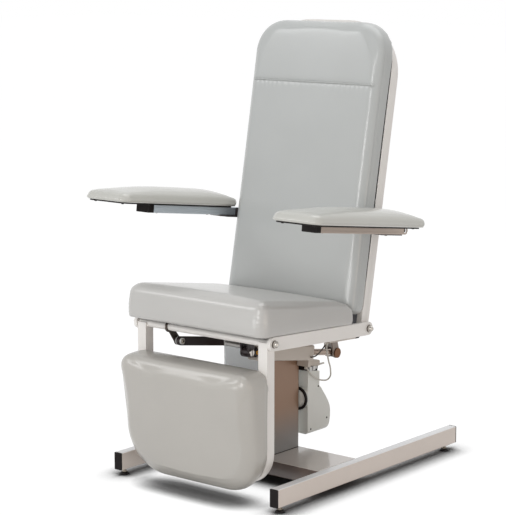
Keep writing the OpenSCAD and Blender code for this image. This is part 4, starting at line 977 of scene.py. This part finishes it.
# %% [markdown]
# The front eye of the actuator hangs in its clevis on a pin with a screwdriver slot. A thin
# dark bar across the head draws the slot as painted shade of its recess, and beside it shows the
# brass bush of the eye, its hole closed by a dark disc as painted shade of the bore.

# %% Slotted clevis pin and bush
def box_mesh(low, high):
    """Box with its corners at low and high."""
    l, h = np.asarray(low, float), np.asarray(high, float)
    k = np.array([[x, y, z] for x in (0, 1) for y in (0, 1) for z in (0, 1)])
    f = [[0, 1, 3, 2], [4, 6, 7, 5], [0, 4, 5, 1], [2, 3, 7, 6], [0, 2, 6, 4], [1, 5, 7, 3]]
    return l + k*(h - l), f


pin_low, pin_high = (np.array(c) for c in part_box("actuator_front_pin"))
pin_mid = (pin_low + pin_high)/2
half_pin = (pin_high - pin_low)[0]/2
tip = 1000*half_pin
HEAD = [(4, tip - 4.0), (10.4, tip - 4.0), (11.2, tip - 3.2), (11.2, tip - 1.2),
        (10.0, tip - 0.1), (5, tip)]
parts = [turned([(4.9, 0.5 - tip), (4.9, tip - 0.5)], pin_mid, (1, 0, 0), 24)]
parts += [turned(HEAD, pin_mid, (s, 0, 0), 28) for s in (-1, 1)]
pin = assembled("clevis_pin", parts, chrome, "seat", "bolt_chrome")
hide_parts("actuator_front_pin")
# dark bars on the pin's heads: painted shade of the screwdriver slots
parts = [box_mesh(pin_mid + [s*half_pin - 0.0006, -0.0011, -0.0102],
                  pin_mid + [s*half_pin + 0.00035, 0.0011, 0.0102]) for s in (-1, 1)]
assembled("clevis_pin_slot_shades", parts, dark_zinc, "seat", "bolt_chrome", smooth=False)
bush_at = pin_mid + [half_pin - 0.0035, 0.026, -0.003]
BUSH = [(3.2, 0), (6.4, 0), (6.8, 0.6), (6.8, 2.6), (6.0, 3.2), (3.4, 3.2)]
# a dark disc in the bush's hole: painted shade of the bore
BORE_SHADE = [(0.5, 2.9), (3.4, 2.9), (3.4, 3.35), (0.5, 3.35)]
COLLAR = [(0.5, -3.4), (10.5, -3.4), (11, -3), (11, -0.4), (10.5, 0), (0.5, 0)]
piece("clevis_brass_bush", *turned(BUSH, bush_at, (1, 0, 0), 24), brass, "seat", "eye_steel")
parts = [turned(BORE_SHADE, bush_at, (1, 0, 0), 20), turned(COLLAR, bush_at, (1, 0, 0), 24)]
assembled("clevis_bush_collar", parts, dark_paint, "seat", "dark_steel")
print("clevis pin", np.round(pin_mid, 3))

# %% [markdown]
# The link bar turns on two shoulder bolts. Each shows a low round head with a hexagon socket, drawn as a thin
# black hexagon on the head: painted shade of the recess.

# %% Shoulder bolts of the link bar
BOLT = [(3.2, 0), (6.4, 0), (7.2, 0.8), (7.2, 2.6), (6.2, 3.6), (3.2, 3.8)]
SOCKET_SHADE = [(0.4, 3.5), (3.2, 3.5), (3.2, 4.0), (0.4, 4.0)]
for node, body in (("leg_link_pin", "leg"), ("back_link_pin", "back")):
    low, high = (np.array(c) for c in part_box(node))
    mid = (low + high)/2
    at, name = (high[0] - 0.0002, mid[1], mid[2]), node.replace("_pin", "_bolt")
    piece(name, *turned(BOLT, at, (1, 0, 0), 28), zinc, body, "bolt_chrome")
    # black hexagon on the head: painted shade of the socket's recess
    piece(name + "_socket", *turned(SOCKET_SHADE, at, (1, 0, 0), 6), black_plastic, body,
          "bolt_chrome", smooth=False)
    print(name, np.round(mid, 3))

# %% [markdown]
# ## Base
# The four levelling feet are a rubber pad on a threaded stud with a jam nut. The thread is a
# lathe with a zigzag profile; at this size the eye can't tell it from a helix.

# %% Levelling feet
PAD = [(0.5, 0), (14.0, 0), (14.8, 0.5), (15.0, 1.4), (15.0, 3.4), (14.4, 4.4), (12.4, 6.0),
       (10.9, 7.6), (9.6, 8.2), (5.0, 8.3)]
THREAD = [(5.0 - 0.45*(k % 2), 8.6 + 0.6*k) for k in range(48)]
STUD = [(0.5, 8.2)] + THREAD + [(4.2, 37.6), (0.5, 38)]
JAM_NUT = [(5, 8.3), (7.6, 8.3), (8.3, 9.0), (8.3, 11.2), (7.6, 11.9), (5, 11.9)]
for where in ("front_left", "front_right", "rear_left", "rear_right"):
    low, high = (np.array(c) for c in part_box("foot_" + where))
    at = ((low[0] + high[0])/2, (low[1] + high[1])/2, low[2])
    body = "foot_" + "".join(word[0] for word in where.split("_"))
    pad = piece("foot_pad_" + where, *turned(PAD, at, (0, 0, 1), 40), foot_rubber, body,
                "foot_rubber")
    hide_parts("foot_" + where)
    piece("foot_stud_" + where, *turned(STUD, at, (0, 0, 1), 20), zinc, body, "eye_steel")
    piece("foot_nut_" + where, *turned(JAM_NUT, at, (0, 0, 1), 6), zinc, body, "eye_steel",
          smooth=False)
    print("foot", where, "on", body)

# %% [markdown]
# Tube ends are closed by moulded plugs whose faces carry fine upright ribs.

# %% Ribbed plug faces
# how far the ribs stand out, and the middle of a plug
PROUD, PLUG_X, PLUG_Z = 0.0006, 0.315, 0.048


def ribs(x, y, z, half_w, half_h, count, out):
    """Upright ribs on a plug's face at (x, y, z), standing proud along y by out."""
    step = 2*half_w/count
    return [box_mesh((x - half_w + (k + 0.2)*step, min(y, y + out*PROUD), z - half_h),
                     (x - half_w + (k + 0.75)*step, max(y, y + out*PROUD), z + half_h))
            for k in range(count)]


low, high = (np.array(c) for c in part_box("runner_end_caps"))
parts = []
for x in (-PLUG_X, PLUG_X):
    for y, out in ((low[1], -1), (high[1], 1)):
        parts += ribs(x, y, PLUG_Z, 0.0125, 0.0245, 7, out)
assembled("runner_plug_ribs", parts, black_plastic, "base", "black_plastic", smooth=False)
print("plug ribs", len(parts))

# %% [markdown]
# The joints of the base and of the frames are welded. A weld bead is a tube whose radius
# ripples along it.

# %% Weld beads
def bead(start, stop, radius=0.0016, pitch=0.0034):
    """Weld bead: a tube of radius r (0.85 + 0.3 |sin(pi s / pitch)|) along its length s."""
    a, b = np.asarray(start, float), np.asarray(stop, float)
    run = np.linalg.norm(b - a)
    n = max(6, int(run/pitch*4))
    t = np.linspace(0, 1, n)
    r = radius*(0.85 + 0.3*np.abs(np.sin(np.pi*t*run/pitch)))
    r[[0, -1]] *= 0.4
    return tube(a + (b - a)*t[:, None], r, 7)


low, high = (np.array(c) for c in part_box("cross_member"))
MEMBER_END, THIN, top = 0.3, 0.0009, high[2] - 0.0002
parts = []
for s in (-1, 1):
    x = s*MEMBER_END
    for y in (low[1], high[1]):
        parts.append(bead((x, y, low[2] + 0.003), (x, y, high[2] - 0.002)))
    parts.append(bead((x, low[1] + 0.004, low[2]), (x, high[1] - 0.004, low[2])))
    parts.append(bead((x, low[1] + 0.004, top), (x, high[1] - 0.004, top), THIN))
assembled("base_welds", parts, base_paint, "base", "base_paint")
parts = [bead(pick(SEAT, (s*0.26, y0, z)), pick(SEAT, (s*0.26, y1, z))) for s in (-1, 1)
         for y0, y1 in ((0.056, 0.082), (0.199, 0.225), (0.317, 0.343))
         for z in (-0.0212, 0.0208)]
assembled("seat_frame_welds", parts, frame_paint, "seat", "frame_paint")
parts = [bead(pick(BACK, (s*0.239, y, 0.006)), pick(BACK, (s*0.239, y, 0.060)))
         for s in (-1, 1) for y in (-0.0205, 0.0105)]
assembled("back_frame_welds", parts, frame_paint, "back", "frame_paint")
print("welds on base, seat frame and back frame")

# %% [markdown]
# ## Arms
# Under each arm, screws hold the panel to the rail and the rail to its stop, and the rail's
# front cap has ribbed sides. All of it is placed in the arm's own tilted frame.

# %% Screws and caps of the arms
PAN = [(0.5, 0), (3.6, 0), (4.4, 0.6), (4.5, 1.4), (3.6, 2.4), (2.2, 2.8), (0.5, 2.9)]
DRIVE_SHADE = [(0.3, 2.6), (1.5, 2.6), (1.5, 3.0), (0.3, 3.0)]
CAP_SIDE, CAP_HALF, CAP_END = 0.0272, 0.0095, -0.4575
for side_name, s in SIDES:
    M = ARM[side_name]
    down = -M[:3, 2]
    body = "arm_" + side_name
    spots = [(s*ARM_OUT + dx, y, 0.0131) for dx in (-0.058, 0.058) for y in (-0.567, -0.07)]
    assembled(f"arm_panel_screws_{side_name}", [turned(PAN, pick(M, q), down, 16) for q in spots],
              black_plastic, body, "black_plastic")
    spots = [(0.0, y, -0.0129) for y in (-0.392, -0.145)]
    assembled(f"arm_rail_screws_{side_name}", [turned(PAN, pick(M, q), down, 20) for q in spots],
              zinc, body, "bolt_chrome")
    # a black square on each screw head: painted shade of its drive recess
    assembled(f"arm_screw_drive_shades_{side_name}",
              [turned(DRIVE_SHADE, pick(M, q), down, 4) for q in spots],
              black_plastic, body, "black_plastic", smooth=False)
    spot = pick(M, (s*0.004, -0.07, -0.0170))
    piece(f"arm_stop_screw_{side_name}", *turned(PAN, spot, down, 20), zinc, "back",
          "bolt_chrome")
    parts = [box_mesh((side*CAP_SIDE - 0.0004, y, -CAP_HALF),
                      (side*CAP_SIDE + 0.0004, y + 0.0012, CAP_HALF))
             for side in (-1, 1) for y in np.arange(-0.4555, -0.438, 0.0027)]
    parts += [box_mesh((x, CAP_END, -CAP_HALF), (x + 0.0014, CAP_END + 0.0007, CAP_HALF))
              for x in np.arange(-0.023, 0.022, 0.0034)]
    assembled(f"arm_cap_ribs_{side_name}", parts, black_plastic, body, "black_plastic", M,
              smooth=False)
    print(side_name, "arm hardware")

# %% [markdown]
# ## Motor, connectors and casing
# The motor's end shows as a black ring round a recessed pale face. The cables end in white
# moulded plugs with short tapered sleeves.

# %% Motor end ring and screws
low, high = (np.array(c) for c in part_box("motor_end_ring"))
mid = (low + high)/2
ring_at = (mid[0], high[1], mid[2])
deep, r = 1000*(high[1] - low[1]), 500*(high[0] - low[0])
RIM = [(r*0.8, deep - 4.5), (r*0.8, deep - 0.8), (r*0.83, deep), (r*0.93, deep),
       (r, deep - 1.6), (r, deep - 7.0), (r*0.95, deep - 8.0), (r*0.78, deep - 8.0)]
CAN = [(r*0.5, 0), (r*0.93, 0), (r*0.93, deep - 7.6), (r*0.78, deep - 7.0),
       (r*0.78, deep - 4.0), (r*0.74, deep - 3.2), (r*0.3, deep - 2.8), (r*0.18, deep - 2.2),
       (0.5, deep - 2.0)]
HOUSING_SCREW = [(0.4, -0.3), (2.6, -0.3), (3.2, 0.1), (3.0, 0.8), (0.4, 1.1)]
rim = piece("motor_end_rim", *turned(RIM, ring_at, (0, -1, 0), 64), black_plastic, "seat",
            "black_plastic")
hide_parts("motor_end_ring")
piece("motor_can", *turned(CAN, ring_at, (0, -1, 0), 64), motor_plastic, "seat", "grey_plastic")
low, high = (np.array(c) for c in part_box("motor_housing"))
parts = [turned(HOUSING_SCREW, (high[0], y, z), (1, 0, 0), 16)
         for y, z in ((0.0545, 0.262), (0.100, 0.150), (0.016, 0.128))]
assembled("motor_housing_screws", parts, black_plastic, "seat", "black_plastic")
print("motor end", np.round(mid, 3))


# %% Plugs and strain reliefs
def sleeve(at, axis, r0, r1, long, rings=5):
    """Strain relief: a cone with shallow rings, r = r0 + (r1 - r0) t + 0.35 |sin(rings pi t)|."""
    t = np.linspace(0, 1, rings*6)
    prof = [(r0 + (r1 - r0)*v + 0.35*abs(math.sin(rings*math.pi*v)), long*v) for v in t]
    return turned([(0.5, 0)] + prof + [(0.5, long)], at, axis, 20)


# from the cover's ends to its screws, and the plugs' feet inside the block
BESIDE, INSIDE = 0.008, 0.0004
parts = [sleeve(control_route[0] + [0, 0, 0.001], (0, 0, -1), 4.6, 2.9, 15),
         sleeve(control_route[-1] + [-0.0004, 0, 0], (1, 0, 0.02), 4.4, 2.9, 8, 3),
         sleeve(sensor_route[0] + [0, 0, 0.001], (0, 0, -1), 3.8, 2.3, 9, 3)]
assembled("cable_sleeves", parts, pale_rubber, "seat", "pale_cable")
low, high = (np.array(c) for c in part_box("connector_block"))
parts = [box_mesh((high[0] - INSIDE, y, z0), (high[0] + out, y + wide, z1))
         for y, wide, out, z0, z1 in ((0.006, 0.0125, 0.0045, 0.3185, 0.3325),
                                      (0.024, 0.0125, 0.0045, 0.3185, 0.3325),
                                      (0.040, 0.006, 0.0028, 0.3215, 0.3305))]
bevelled(assembled("connector_plugs", parts, white_nylon, "seat", "white_nylon", smooth=False),
         0.0008, 40)
low, high = (np.array(c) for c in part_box("control_box_cover"))
parts = [turned(PAN, (x, high[1] - 0.0002, (low[2] + high[2])/2), (0, 1, 0), 16)
         for x in (low[0] + BESIDE, high[0] - BESIDE)]
assembled("control_box_screws", parts, zinc, "seat", "bolt_chrome")
print("sleeves, plugs and cover screws")

# %% Sizes and finish
low, high = (list(map(float, c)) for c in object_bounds())
print("visual box", [round(v, 3) for v in low], [round(v, 3) for v in high])
